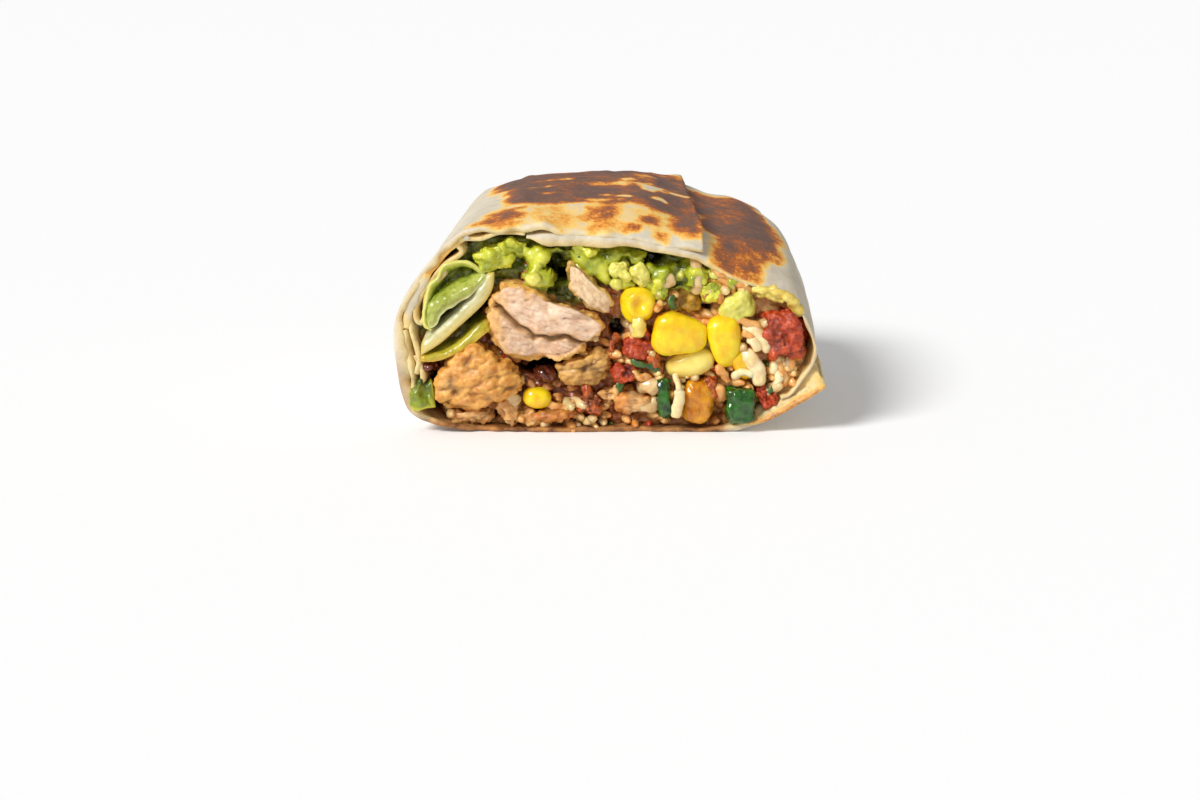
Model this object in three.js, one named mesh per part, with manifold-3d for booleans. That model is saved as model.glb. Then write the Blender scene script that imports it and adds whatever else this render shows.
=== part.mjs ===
// A toasted burrito cut across its middle: the half that keeps its folded end.
// Millimetres. X runs across the cut face, Y from the cut face to the folded end, Z up.
// The cut face is drawn in its own plane as [x, z] points, at y = 0; a law called `settle` then carries
// every section back through the food, and a last shift puts the origin under the middle of the part.
import * as THREE from "three";
import { mergeVertices } from "three/addons/utils/BufferGeometryUtils.js";
import Module from "manifold-3d";

const wasm = await Module();
wasm.setup();

// Driving sizes
const LENGTH = 81; // from the cut face to the folded end
const HALF_WIDTH = 42.4;
const LAYER = 1.8; // one thickness of flour tortilla
const END_WALL = 3; // folded layers that close the far end
const GAP = 0.35; // clearance between neighbouring pieces
const SPRING_BACK = 13.5; // depth over which the edge that the knife pressed down regains its shape
const RISE = { left: 0, middle: 0.14, right: 0.36 }; // how much taller the body is than its cut edge
const LEFT_SLIMMING = 0.08; // how much narrower its left side is
const TAPER_START = 31.5; // where the sides begin to close towards the folded end
const FOLD_HEIGHT = 21.5; // height of the middle of the folded end
const LIFT_START = 58; // from here to the folded end the underside leaves the table
const SECTION_STEP = 5.4; // length of one facet round the wrap
const CORE_RECESS = 3; // how far the loose filling stays behind the cut
const SEED = 7;

// Outline of the wrap at the cut, anticlockwise as seen from the front
const HEM_TIP = [43.8, 9.3];
const RIGHT_WALL = [
  [41.3, 13.6], [41.6, 17], [40, 21.8], [36.8, 26.4], [30, 30], [24, 32.6], [19.4, 35.2],
];
const TOP_AND_LEFT = [
  [18.9, 37.8], [13, 38.1], [5, 39.6], [-4, 40.4], [-12, 41.2], [-19, 41.6], [-26.4, 40.8],
  [-31.2, 38.6], [-35, 34.7], [-38.6, 30], [-41.4, 24.9], [-42.4, 20], [-41.9, 14], [-41, 8],
  [-39.4, 4], [-35.4, 1.8], [-28, 0.4], [-18, 0],
];
const BASE = [[-18, 0], [20, 0]];
const HEM_UNDER = [[20, 0], [27, 0.5], [32.1, 3], [36.8, 5.3], HEM_TIP];
const HEM_INSIDE = [[20, LAYER], [26, 2.4], [30.5, 4.4], [36.2, 9.9], [39.5, 13.6]];
const FLAP_BITE = 3; // width over which the free edge of the top flap sits on the layer below

// Layers of the same tortilla that show inside the outer one, as centre lines
const UNDER_LAYER = [[21, 32.6], [16, 34.2], [12, 34.8], [5, 36.4], [-4, 37.3], [-10, 37.9], [-15.6, 38.3]];
const TUCK_DOWN = [
  [-15, 38.5], [-22, 38.7], [-26.5, 38], [-29.8, 36], [-32.8, 32.6], [-36.3, 28], [-38.5, 23.8],
  [-38.5, 21.2], [-37.4, 20.2],
];
const TUCK_UP = [[-38, 20.5], [-36.4, 20.8], [-35.8, 23.8], [-34.4, 27.2]];
const PLEAT = [[-39.1, 18.9], [-38, 17], [-37.6, 14.4], [-38.1, 11.6]];

const clamp = THREE.MathUtils.clamp;

// Shares of the width, and of the height above and below the folded end, that are left at depth y,
// for a body that ends at `end`
function taper(y, end) {
  const along = (start) => clamp((y - start) / (end - start), 0, 0.985);
  const t = along(TAPER_START);
  const lifted = along(LIFT_START);
  return { wide: (1 - t ** 4) ** 0.45, above: (1 - t ** 3.4) ** 0.5, below: (1 - lifted ** 3) ** 0.5 };
}

// Carries the point [x, z] of the cut face back to depth y
function settle(x, z, y, end) {
  const spring = 1 - Math.exp(-Math.max(y, 0) / SPRING_BACK);
  const side = x < 0 ? RISE.left : RISE.right;
  const rise = THREE.MathUtils.lerp(RISE.middle, side, Math.min(Math.abs(x) / HALF_WIDTH, 1));
  const slimming = x < 0 ? LEFT_SLIMMING : 0;
  const { wide, above, below } = taper(y, end);
  const height = z * (1 + spring * rise) - FOLD_HEIGHT;
  return new THREE.Vector3(
    x * (1 - spring * slimming) * wide,
    y,
    FOLD_HEIGHT + height * (height > 0 ? above : below),
  );
}

const OUTSIDE = LENGTH;
const CAVITY = LENGTH - END_WALL;
const CONTENTS = CAVITY - 2 * GAP;

// A smooth line through some points, as evenly spaced ones
function smooth(points, step, closed = false) {
  const curve = new THREE.CatmullRomCurve3(
    points.map(([x, z]) => new THREE.Vector3(x, 0, z)), closed, "centripetal",
  );
  const count = Math.max(2, Math.round(curve.getLength() / step));
  const spaced = curve.getSpacedPoints(count).map((p) => [p.x, Math.max(p.z, 0)]);
  return closed ? spaced.slice(0, -1) : spaced;
}

// Moves a line sideways, to the left of the way it runs
function offset(line, distance) {
  return line.map((p, i) => {
    const before = line[Math.max(i - 1, 0)];
    const after = line[Math.min(i + 1, line.length - 1)];
    const along = new THREE.Vector2(after[0] - before[0], after[1] - before[1]).normalize();
    return [p[0] - along.y * distance, p[1] + along.x * distance];
  });
}

const signedArea = (ring) => THREE.ShapeUtils.area(ring.map(([x, z]) => new THREE.Vector2(x, z)));
const anticlockwise = (ring) => (signedArea(ring) > 0 ? ring : [...ring].reverse());

// A closed geometry through rings of points, the first at the front; all run anticlockwise from the front
function loft(rings) {
  const count = rings[0].length;
  const last = (rings.length - 1) * count;
  const faces = [];
  for (let r = 0; r + 1 < rings.length; r++) {
    for (let i = 0; i < count; i++) {
      const a = r * count + i;
      const b = r * count + ((i + 1) % count);
      faces.push(a, a + count, b + count, a, b + count, b);
    }
  }
  const caps = [[rings[0], 0, false], [rings[rings.length - 1], last, true]];
  for (const [ring, start, turned] of caps) {
    const flat = ring.map((p) => new THREE.Vector2(p.x, p.z));
    for (const [a, b, c] of THREE.ShapeUtils.triangulateShape(flat, [])) {
      const outward = (THREE.ShapeUtils.area([flat[a], flat[b], flat[c]]) > 0) !== turned;
      faces.push(start + a, start + (outward ? b : c), start + (outward ? c : b));
    }
  }
  const geometry = new THREE.BufferGeometry();
  const places = rings.flat().flatMap((p) => p.toArray());
  geometry.setAttribute("position", new THREE.Float32BufferAttribute(places, 3));
  geometry.setIndex(faces);
  return geometry;
}

// Geometry to solid, and back
function solid(geometry) {
  const bare = new THREE.BufferGeometry();
  bare.setAttribute("position", geometry.getAttribute("position"));
  bare.setIndex(geometry.index);
  const merged = mergeVertices(bare, 1e-4);
  return new wasm.Manifold(new wasm.Mesh({
    numProp: 3,
    vertProperties: merged.attributes.position.array,
    triVerts: new Uint32Array(merged.index.array),
  }));
}

function geometryOf(body) {
  const mesh = body.getMesh();
  const geometry = new THREE.BufferGeometry();
  geometry.setAttribute("position", new THREE.BufferAttribute(new Float32Array(mesh.vertProperties), 3));
  geometry.setIndex(new THREE.BufferAttribute(new Uint32Array(mesh.triVerts), 1));
  return geometry;
}

const largest = (body) => body.decompose().sort((a, b) => b.volume() - a.volume())[0];

// A section carried through the food along the law that closes it at `end`
function through(outline, depths, end, shape = settle) {
  const ring = anticlockwise(outline);
  return solid(loft(depths.map((y) => ring.map(([x, z]) => shape(x, z, y, end)))));
}

// Distance from a point to a line of points
function distanceTo(line, [x, z]) {
  return Math.min(...line.slice(1).map((b, i) => {
    const a = line[i];
    const [dx, dz] = [b[0] - a[0], b[1] - a[1]];
    const share = clamp(((x - a[0]) * dx + (z - a[1]) * dz) / (dx * dx + dz * dz), 0, 1);
    return Math.hypot(x - a[0] - share * dx, z - a[1] - share * dz);
  }));
}

// The outline of a band round a centre line, as { point, share } with the share of the way along the line.
// On the inner side of a tight bend the points that would fold over each other are left out.
function bandOutline(line, thickness) {
  const side = (distance) => offset(line, distance)
    .map((point, i) => ({ point, share: i / (line.length - 1) }))
    .filter(({ point }) => distanceTo(line, point) > 0.96 * Math.abs(distance));
  const outline = [...side(thickness / 2), ...side(-thickness / 2).reverse()];
  return signedArea(outline.map((o) => o.point)) > 0 ? outline : outline.reverse();
}

// The same line, a little longer at both ends
function lengthened(line, extra) {
  const beyond = ([ax, az], [bx, bz]) => {
    const reach = extra / Math.hypot(ax - bx, az - bz);
    return [ax + (ax - bx) * reach, az + (az - bz) * reach];
  };
  return [beyond(line[0], line[1]), ...line.slice(1, -1), beyond(line.at(-1), line.at(-2))];
}

// A sheet of even thickness seen edge on, carried through the food. `wave` sways it sideways,
// and `grow` widens it on every side.
function sheet({ line, thickness, wave = () => 0 }, depths, end, grow = 0) {
  const outline = bandOutline(grow ? lengthened(line, grow) : line, thickness + 2 * grow);
  const ringAt = (y) => outline.map(({ point: [x, z], share }) => settle(x + wave(share, y), z, y, end));
  return solid(loft(depths.map(ringAt)));
}

// A chunk with the given outline at the cut, rounded towards its back. `grow` widens it on every side.
function chunk({ outline, front, back, step = 3.2 }, grow = 0) {
  const ring = anticlockwise(smooth(outline, step, true));
  const centre = ring.reduce(([x, z], p) => [x + p[0] / ring.length, z + p[1] / ring.length], [0, 0]);
  const reach = Math.min(...ring.map(([x, z]) => Math.hypot(x - centre[0], z - centre[1])));
  const swell = 1 + grow / reach;
  const profile = [[0, 0.94], [0.1, 1], [0.6, 0.92], [1, 0.4]];
  const depth = back - front;
  return solid(loft(profile.map(([share, size]) => ring.map(([x, z]) => new THREE.Vector3(
    centre[0] + (x - centre[0]) * size * swell,
    front - grow + share * (depth + 2 * grow),
    centre[1] + (z - centre[1]) * size * swell,
  )))));
}

// A rounded lump: a ball drawn out to a size in x, y and z, squarer where `square` is above 2
function lump({ at, size, turn = 0, square = 2, fine = false }, grow = 0) {
  const ball = new THREE.IcosahedronGeometry(1, fine ? 2 : 1);
  const places = ball.getAttribute("position");
  const p = new THREE.Vector3();
  for (let i = 0; i < places.count; i++) {
    p.fromBufferAttribute(places, i);
    const powers = p.toArray().reduce((sum, v) => sum + Math.abs(v) ** square, 0);
    p.divideScalar(powers ** (1 / square));
    places.setXYZ(i, p.x, p.y, p.z);
  }
  ball.scale(...size.map((s) => s / 2 + grow));
  ball.rotateY(THREE.MathUtils.degToRad(-turn));
  ball.translate(...at);
  return solid(ball);
}

// One cooked grain: a prism of five sides with pointed ends
function grain(at, size, turn, tip) {
  const body = new THREE.CylinderGeometry(size[1] / 2, size[1] / 2, size[0] * 0.6, 5, 1);
  const places = body.getAttribute("position");
  for (let i = 0; i < places.count; i++) {
    const isTip = Math.hypot(places.getX(i), places.getZ(i)) < 1e-6;
    if (isTip) places.setY(i, Math.sign(places.getY(i)) * size[0] * 0.5);
  }
  body.rotateX(THREE.MathUtils.degToRad(tip));
  body.rotateY(THREE.MathUtils.degToRad(-turn));
  body.translate(...at);
  return solid(body);
}

// A seeded draw, so that each run lays the grains in the same places
function dice(seed) {
  let state = seed;
  return (low, high) => {
    state = (Math.imul(state, 1664525) + 1013904223) >>> 0;
    return low + (high - low) * (state / 2 ** 32);
  };
}

// The wrap: outer layer with its flap and its pinched hem, and the layers that show inside
const outerRing = [
  ...smooth([HEM_TIP, ...RIGHT_WALL.slice(0, 1)], SECTION_STEP).slice(0, -1),
  ...smooth(RIGHT_WALL, SECTION_STEP),
  ...smooth(TOP_AND_LEFT, SECTION_STEP),
  ...smooth(BASE, 2 * SECTION_STEP).slice(1, -1),
  ...smooth(HEM_UNDER, SECTION_STEP).slice(0, -1),
];
function innerRing(clearance) {
  const wall = LAYER + clearance;
  const [flapEdge] = TOP_AND_LEFT[0];
  const top = smooth(TOP_AND_LEFT, SECTION_STEP).filter(([x]) => x < flapEdge - FLAP_BITE - clearance);
  const hem = smooth(HEM_INSIDE, SECTION_STEP);
  return [
    ...offset(smooth(RIGHT_WALL, SECTION_STEP), wall).slice(1),
    ...offset(top, wall),
    ...offset(hem, clearance).slice(0, -1),
  ];
}

const wrapDepths = [0, 3, 8, 17, 31, 46, 57, 66, 72.5, 77, 79.4, LENGTH];
const cavityDepths = [-1, 0, 3, 8, 17, 31, 46, 57, 66, 72.5, 76, CAVITY];
const layerDepths = [0, 8, 19, 46, 60, 71, LENGTH - 1.5];

const shell = through(outerRing, wrapDepths, OUTSIDE)
  .subtract(through(innerRing(0), cavityDepths, CAVITY));
const layers = [
  { line: smooth(UNDER_LAYER, 8), thickness: LAYER },
  { line: TUCK_DOWN, thickness: 1.5 },
  { line: TUCK_UP, thickness: 1.5 },
  { line: PLEAT, thickness: 1.3 },
];
const tortilla = layers.reduce((body, layer) => body.add(sheet(layer, layerDepths, CAVITY)), shell);

// Room that is already taken: the wall, its inner layers, and each piece that has been set in place
const taken = [
  through(outerRing, wrapDepths.map((y) => (y === 0 ? -GAP : y)), OUTSIDE)
    .subtract(through(innerRing(GAP), [-5, ...cavityDepths.slice(1, -1), CONTENTS], CONTENTS)),
  ...layers.map((layer) => sheet(layer, [-GAP, ...layerDepths.slice(1)], CAVITY, GAP)),
];
const touches = (a, b) => {
  const [p, q] = [a.boundingBox(), b.boundingBox()];
  return p.min.every((low, k) => low < q.max[k] && q.min[k] < p.max[k]);
};
function setInPlace(body, swollen) {
  const fitted = taken.filter((t) => touches(t, body)).reduce((left, t) => left.subtract(t), body);
  taken.push(swollen);
  return largest(fitted);
}

// Materials
const finish = (color, roughness) => new THREE.MeshStandardMaterial({ color, roughness, metalness: 0 });
const LOOKS = {
  tortilla: finish(0xe6d3ad, 0.7),
  chicken: finish(0xd9ab7a, 0.6),
  corn: finish(0xf2c21a, 0.35),
  tomato: finish(0xb03a22, 0.3),
  green_pepper: finish(0x2f6b2a, 0.3),
  yellow_pepper: finish(0xd99a2b, 0.3),
  avocado: finish(0xc9cf5a, 0.4),
  guacamole: finish(0x9cae2e, 0.45),
  lettuce: finish(0xb9cf6a, 0.4),
  cheese: finish(0xf0cf8e, 0.45),
  bean: finish(0x6b3324, 0.4),
  rice: finish(0xd8a368, 0.5),
};

const burrito = new THREE.Group();
function addPiece(name, look, body) {
  const mesh = new THREE.Mesh(geometryOf(body), LOOKS[look]);
  mesh.name = name;
  burrito.add(mesh);
}
addPiece("tortilla", "tortilla", tortilla);

// Chicken pieces, by their outline at the cut
const CHICKEN = [
  {
    name: "chicken_large", front: -1.4, back: 25,
    outline: [
      [-20.9, 30.3], [-16, 29.4], [-10.8, 27.1], [-5.6, 25.3], [-1.3, 23], [-0.4, 21.2], [-2.6, 18.7],
      [-5.6, 16], [-12.6, 14.6], [-20, 16], [-23.6, 20.5], [-24.2, 23.4], [-23.2, 27],
    ],
  },
  {
    name: "chicken_left", front: -1, back: 22,
    outline: [
      [-33.6, 11.1], [-31.6, 15], [-28.8, 16.9], [-25.8, 18], [-22.2, 16], [-18.8, 13.8], [-16.2, 10.8],
      [-17.2, 8.2], [-23, 6.4], [-25.8, 4.7], [-28.9, 4.4], [-32.2, 5], [-34.4, 8.4],
    ],
  },
  {
    name: "chicken_top", front: -0.4, back: 18, step: 2.6,
    outline: [
      [-7.6, 34.2], [-5.6, 33.6], [-2.5, 30.6], [0.3, 28.1], [1.7, 24.6], [0.4, 23.5], [-2, 24.4],
      [-4.6, 26.2], [-7, 29], [-7.8, 32],
    ],
  },
  {
    name: "chicken_middle", front: 0.6, back: 16, step: 2.6,
    outline: [
      [-10.4, 13.2], [-7, 14.4], [-3.6, 15.6], [-2.2, 17.2], [-0.1, 16.2], [0.5, 14], [-0.2, 10.9],
      [-2.9, 9.5], [-6.2, 9.2], [-9.2, 10.5],
    ],
  },
  {
    name: "chicken_low", front: -0.2, back: 14, step: 2.4,
    outline: [[-15, 2.6], [-12.4, 4.8], [-9, 5.2], [-6.2, 3.6], [-7.4, 2.3], [-11.4, 2.2]],
  },
  {
    name: "chicken_right", front: 0.2, back: 14, step: 2.4,
    outline: [[1, 6.6], [2.6, 8.4], [5.6, 8.6], [8.6, 7.2], [8.8, 5.4], [6, 4.2], [2.6, 4.6]],
  },
];
for (const piece of CHICKEN) {
  addPiece(piece.name, "chicken", setInPlace(chunk(piece), chunk(piece, GAP)));
}

// Whole kernels, dice and single pieces: place of the middle and size in x, y, z.
// `turn` is in the plane of the cut, and the largest have `fine` facets.
const LUMPS = {
  corn: [
    { name: "corn_1", at: [14.4, 1.2, 19.7], size: [10.8, 7, 8.4], turn: -4, square: 2.6, fine: true },
    { name: "corn_2", at: [23.3, 1.8, 18.2], size: [7.6, 7, 10.4], turn: 12, square: 2.5, fine: true },
    { name: "corn_3", at: [16.6, 2.6, 13.6], size: [10, 6, 5.8], turn: 16, square: 2.4 },
    { name: "corn_4", at: [6, 1.8, 25.6], size: [7, 6, 7.2], turn: 0, square: 2.5 },
    { name: "corn_5", at: [27.6, 3.4, 13.4], size: [4.6, 6, 5.8], turn: 20, square: 2.4 },
    { name: "corn_6", at: [-13.9, 1.2, 6.9], size: [6, 5, 4], turn: -8, square: 2.4 },
  ],
  avocado: [
    { name: "avocado_1", at: [26, 2, 25.3], size: [6.6, 6, 5.8], turn: 38, square: 3.4 },
    { name: "avocado_2", at: [2.6, 2.4, 32.3], size: [4.2, 5, 3.8], turn: 10, square: 3.2 },
    { name: "avocado_3", at: [6.8, 2, 31.6], size: [3.6, 5, 4.4], turn: 26, square: 3.2 },
  ],
  tomato: [
    { name: "tomato_1", at: [35, 2.4, 20.2], size: [8, 9, 9.6], turn: -24, square: 3, fine: true },
    { name: "tomato_2", at: [6.2, 2.6, 17.6], size: [5.8, 6, 5.2], turn: 10, square: 3 },
    { name: "tomato_3", at: [3.4, 2, 12], size: [4.6, 6, 4.6], turn: 30, square: 3 },
    { name: "tomato_4", at: [-3, 1.6, 6], size: [4.8, 6, 5.4], turn: -12, square: 2.8 },
    { name: "tomato_5", at: [31.9, 2.4, 7.4], size: [3.6, 5, 3.8], turn: 40, square: 2.8 },
  ],
  green_pepper: [
    { name: "pepper_green_1", at: [26.6, 0.4, 6.6], size: [6.2, 5, 6.8], turn: 4, square: 4 },
    { name: "pepper_green_2", at: [11.3, 1.2, 6.9], size: [2.9, 5, 7.8], turn: 10, square: 3.4 },
  ],
  yellow_pepper: [
    { name: "pepper_yellow", at: [18.6, 1.8, 6.6], size: [6, 6, 8], turn: -10, square: 3 },
  ],
  bean: [
    { name: "bean_1", at: [-35.6, 4, 13], size: [4.6, 8, 2.8], turn: 20 },
    { name: "bean_2", at: [-12.6, 4, 11.2], size: [5, 8, 3.6], turn: -30 },
  ],
};
for (const [look, pieces] of Object.entries(LUMPS)) {
  for (const piece of pieces) {
    addPiece(piece.name, look, setInPlace(lump(piece), lump(piece, GAP)));
  }
}

// Cheese: short melted strips
const CHEESE = [
  { name: "cheese_1", line: [[13.9, 10.6], [14.2, 7], [13.8, 3.2]], thickness: 1.8, front: -1.6, back: 3 },
  { name: "cheese_2", line: [[29.4, 14.4], [30.6, 11.6], [30.2, 8.6]], thickness: 3.2, front: 0.2, back: 8 },
  { name: "cheese_3", line: [[26.6, 20.6], [29.8, 20.2], [31, 16.6]], thickness: 1.8, front: 1.2, back: 7 },
];
const straightBack = (x, z, y) => new THREE.Vector3(x, y, z);
function strip({ line, thickness, front, back }, grow = 0) {
  const band = bandOutline(lengthened(smooth(line, 1.8), grow), thickness + 2 * grow).map((o) => o.point);
  return through(band, [front - grow, (front + back) / 2, back + grow], OUTSIDE, straightBack);
}
for (const piece of CHEESE) {
  addPiece(piece.name, "cheese", setInPlace(strip(piece), strip(piece, GAP)));
}

// Lettuce: thin wavy leaves that run back through the food
const leafDepths = [0.6, 11, 28, 45, 56];
const sway = (amount, turns) => (share, y) => amount * Math.sin(y * turns + share * 4) * Math.min(1, y / 10);
const LEAVES = [
  {
    name: "lettuce_curl", thickness: 1.1, wave: sway(0.25, 0.22),
    line: [
      [-26.4, 33.8], [-29.6, 32.4], [-31.2, 29.6], [-31.9, 26.4], [-31.6, 23.8], [-29.8, 23.2], [-28.2, 25.4],
    ],
  },
  {
    name: "lettuce_rib", thickness: 1.7, wave: sway(0.2, 0.16),
    line: [[-22.6, 33.2], [-24.4, 29.4], [-26.6, 24.9], [-29.4, 21.2], [-33, 18.4], [-35.8, 16.6]],
  },
  {
    name: "lettuce_edge", thickness: 0.9, wave: sway(0.2, 0.3),
    line: [[-25.6, 21.4], [-28.4, 19.6], [-31.4, 17.4], [-34.2, 15.6]],
  },
];
for (const { name, line, thickness, wave } of LEAVES) {
  const leaf = { line: smooth(line, 3.6), thickness, wave };
  const swollenDepths = [leafDepths[0] - GAP, ...leafDepths.slice(1, -1), leafDepths.at(-1) + GAP];
  const swollen = sheet(leaf, swollenDepths, CONTENTS, GAP);
  addPiece(name, "lettuce", setInPlace(sheet(leaf, leafDepths, CONTENTS), swollen));
}
const SCRAP = { name: "lettuce_scrap", at: [-36.4, 1.6, 7.4], size: [4.6, 5, 6], turn: -14, square: 2.4 };
addPiece(SCRAP.name, "lettuce", setInPlace(lump(SCRAP), lump(SCRAP, GAP)));

// Guacamole: a layer under the top of the wrap, with lumps along its lower edge
const GUACAMOLE = [
  [22.6, 30.8], [16, 34.2], [9, 35.6], [0, 36.9], [-9, 37.8], [-15, 38.2], [-21, 38.6], [-25.4, 37.2],
  [-25.8, 34.6], [-21.6, 32.4], [-17.6, 33.6], [-12.6, 33.2], [-8.4, 30.6], [-3, 29.4], [3, 28.6],
  [9, 28.4], [13, 26.2], [16.6, 28.2], [21, 26.6],
];
const GUACAMOLE_LUMPS = [
  { at: [-13.2, 2.2, 31.6], size: [7.4, 6, 5] },
  { at: [-22.6, 1.8, 34.6], size: [5.6, 5, 4] },
  { at: [11.4, 1.8, 30.6], size: [5, 5, 4.4] },
  { at: [16.4, 2, 30.2], size: [4.8, 5, 5] },
];
const guacamoleDepths = [1.2, 6, 19, 46, 60];
function guacamole(grow) {
  const ring = anticlockwise(smooth(GUACAMOLE, 5, true));
  const edge = offset([ring.at(-1), ...ring, ring[0]], -grow).slice(1, -1);
  const depths = guacamoleDepths.map((y) => (y === guacamoleDepths[0] ? y - grow : y));
  const body = through(edge, depths, CONTENTS);
  return GUACAMOLE_LUMPS.reduce((whole, piece) => whole.add(lump(piece, grow)), body);
}
addPiece("guacamole", "guacamole", setInPlace(guacamole(0), guacamole(GAP)));

// Rice, beans and sauce: one heap that fills the rest, with the grains that show at the cut fused on
const heapDepths = [CORE_RECESS, 8, 17, 31, 46, 57, 66, 72.5, CONTENTS];
const heapRing = innerRing(GAP);
let heap = largest(taken.filter((t) => t !== taken[0]).reduce(
  (left, t) => left.subtract(t), through(heapRing, heapDepths, CONTENTS),
));
const RICE_FIELDS = [
  { x: [29, 37.5], z: [9, 17], count: 9 },
  { x: [20, 31], z: [22, 29.5], count: 7 },
  { x: [-30, 24], z: [2.6, 7], count: 14 },
  { x: [8, 27], z: [8, 14], count: 6 },
  { x: [-2, 12], z: [13, 24], count: 6 },
];
const GRAIN = [7, 2.1];
const draw = dice(SEED);
for (const { x, z, count } of RICE_FIELDS) {
  for (let placed = 0, tries = 0; placed < count && tries < 14 * count; tries++) {
    const at = [draw(...x), CORE_RECESS - draw(0, 1.2), draw(...z)];
    const rice = grain(at, GRAIN, draw(0, 180), draw(-24, 24));
    const isFree = taken.filter((t) => touches(t, rice)).every((t) => t.intersect(rice).isEmpty());
    if (!isFree) continue;
    heap = heap.add(rice);
    placed++;
  }
}
addPiece("rice_filling", "rice", largest(heap));

// The origin goes under the middle of the whole part
const extent = new THREE.Box3().setFromObject(burrito);
const middle = extent.getCenter(new THREE.Vector3());
burrito.position.set(-middle.x, -middle.y, -extent.min.z);

export default burrito;
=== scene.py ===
# %% [markdown]
# # Half a toasted burrito
# A burrito is a flour tortilla rolled round its filling, toasted on a hot plate and cut across. This lesson
# dresses one half: the wrap, and everything that the knife laid bare. The solid model already says where
# each piece lies, so here every piece is a finer mesh in the same place, with a finish of its own.

# %% Load the solid model
import math

import bmesh
import bpy
import numpy as np
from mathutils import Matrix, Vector


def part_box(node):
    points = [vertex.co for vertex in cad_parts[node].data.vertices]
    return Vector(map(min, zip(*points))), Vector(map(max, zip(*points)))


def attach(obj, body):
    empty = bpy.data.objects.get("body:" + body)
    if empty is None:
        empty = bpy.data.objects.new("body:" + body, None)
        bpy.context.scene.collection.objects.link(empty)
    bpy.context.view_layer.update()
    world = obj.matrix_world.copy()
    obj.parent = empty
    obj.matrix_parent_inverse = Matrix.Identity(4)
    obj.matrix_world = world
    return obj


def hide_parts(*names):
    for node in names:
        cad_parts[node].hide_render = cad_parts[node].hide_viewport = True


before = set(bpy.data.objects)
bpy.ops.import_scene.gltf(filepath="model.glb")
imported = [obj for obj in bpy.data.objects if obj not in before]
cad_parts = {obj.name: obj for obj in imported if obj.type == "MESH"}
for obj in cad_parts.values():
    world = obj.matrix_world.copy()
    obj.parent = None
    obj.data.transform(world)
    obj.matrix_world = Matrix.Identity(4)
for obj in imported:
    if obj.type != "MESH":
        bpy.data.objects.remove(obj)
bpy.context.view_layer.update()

# %% [markdown]
# All shapes are drawn in millimetres on the cut face: x runs across it, y back into the food and z up from
# the table. One function carries such points into the model's frame, in metres, and one brings them back.

# %% Millimetres on the cut face
MM = 0.001
HALF_WIDTH = 42.4
LENGTH = 81.0
wrap_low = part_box("tortilla")[0]
FACE = np.array([wrap_low.x + HALF_WIDTH * MM, wrap_low.y, 0.0])


def to_metres(points):
    return FACE + np.asarray(points, float) * MM


def to_face(points):
    return (np.asarray(points, float) - FACE) / MM


print("middle of the cut face, at its base:", FACE.round(4))

# %% [markdown]
# Food is uneven at every size. A noise that gives the same values on every run shapes all the relief:
# random values sit at the corners of cubes of a given size, and a smooth blend fills the space between
# them. Blender's own noise works on one point at a time, which is slow for dense meshes, so this one takes
# arrays.

# %% Uneven relief
def corner_value(cell, seed):
    """A fixed value from -1 to 1 for each cell, mixed from the bits of its place and the seed."""
    h = (cell[..., 0] * 73856093) ^ (cell[..., 1] * 19349663) ^ (cell[..., 2] * 83492791) ^ (seed * 40503)
    h &= 0xFFFFFFFF
    h = ((h ^ (h >> 15)) * 2246822519) & 0xFFFFFFFF
    h = ((h ^ (h >> 13)) * 3266489917) & 0xFFFFFFFF
    return (h ^ (h >> 16)) / 0x7FFFFFFF - 1


def noise(points, size, seed=0):
    """Smooth values from -1 to 1 that change over about `size` millimetres."""
    p = np.asarray(points, float) / size
    cell = np.floor(p).astype(np.int64)
    f = p - cell
    f = f * f * (3 - 2 * f)
    total = 0
    for dx in (0, 1):
        for dy in (0, 1):
            for dz in (0, 1):
                weight = np.prod(np.where([dx, dy, dz], f, 1 - f), axis=-1)
                total = total + weight * corner_value(cell + [dx, dy, dz], seed)
    return total


def rough(points, size, steps=3, seed=0):
    """Noise with finer and finer noise on top, each step half as large and half as strong."""
    return sum(noise(points, np.asarray(size) / 2**k, seed + k) / 2**k for k in range(steps))


def lumps(points, size, seed=0):
    """Rounded lumps with folds between them: 1 in the middle of a lump, near 0 where two lumps meet."""
    p = np.asarray(points, float) / size
    cell = np.floor(p).astype(np.int64)
    nearest = np.full(len(p), 9.0)
    for step in np.ndindex(3, 3, 3):
        corner = cell + np.array(step) - 1
        middle = corner + 0.5 + 0.4 * np.stack([corner_value(corner, seed + k) for k in range(3)], axis=1)
        nearest = np.minimum(nearest, ((p - middle) ** 2).sum(axis=1))
    return 1 - np.minimum(nearest / 0.6, 1)


def step_between(low, high, value):
    t = np.clip((value - low) / (high - low), 0, 1)
    return t * t * (3 - 2 * t)


print("noise sample", float(noise([[1.0, 2.0, 3.0]], 4)[0]))

# %% [markdown]
# A few helpers make meshes from rows of points. A row is one ring round a piece, and neighbouring rows are
# joined by four-sided faces. Doubled points are merged and faces turned outwards, so each piece is closed.

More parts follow.
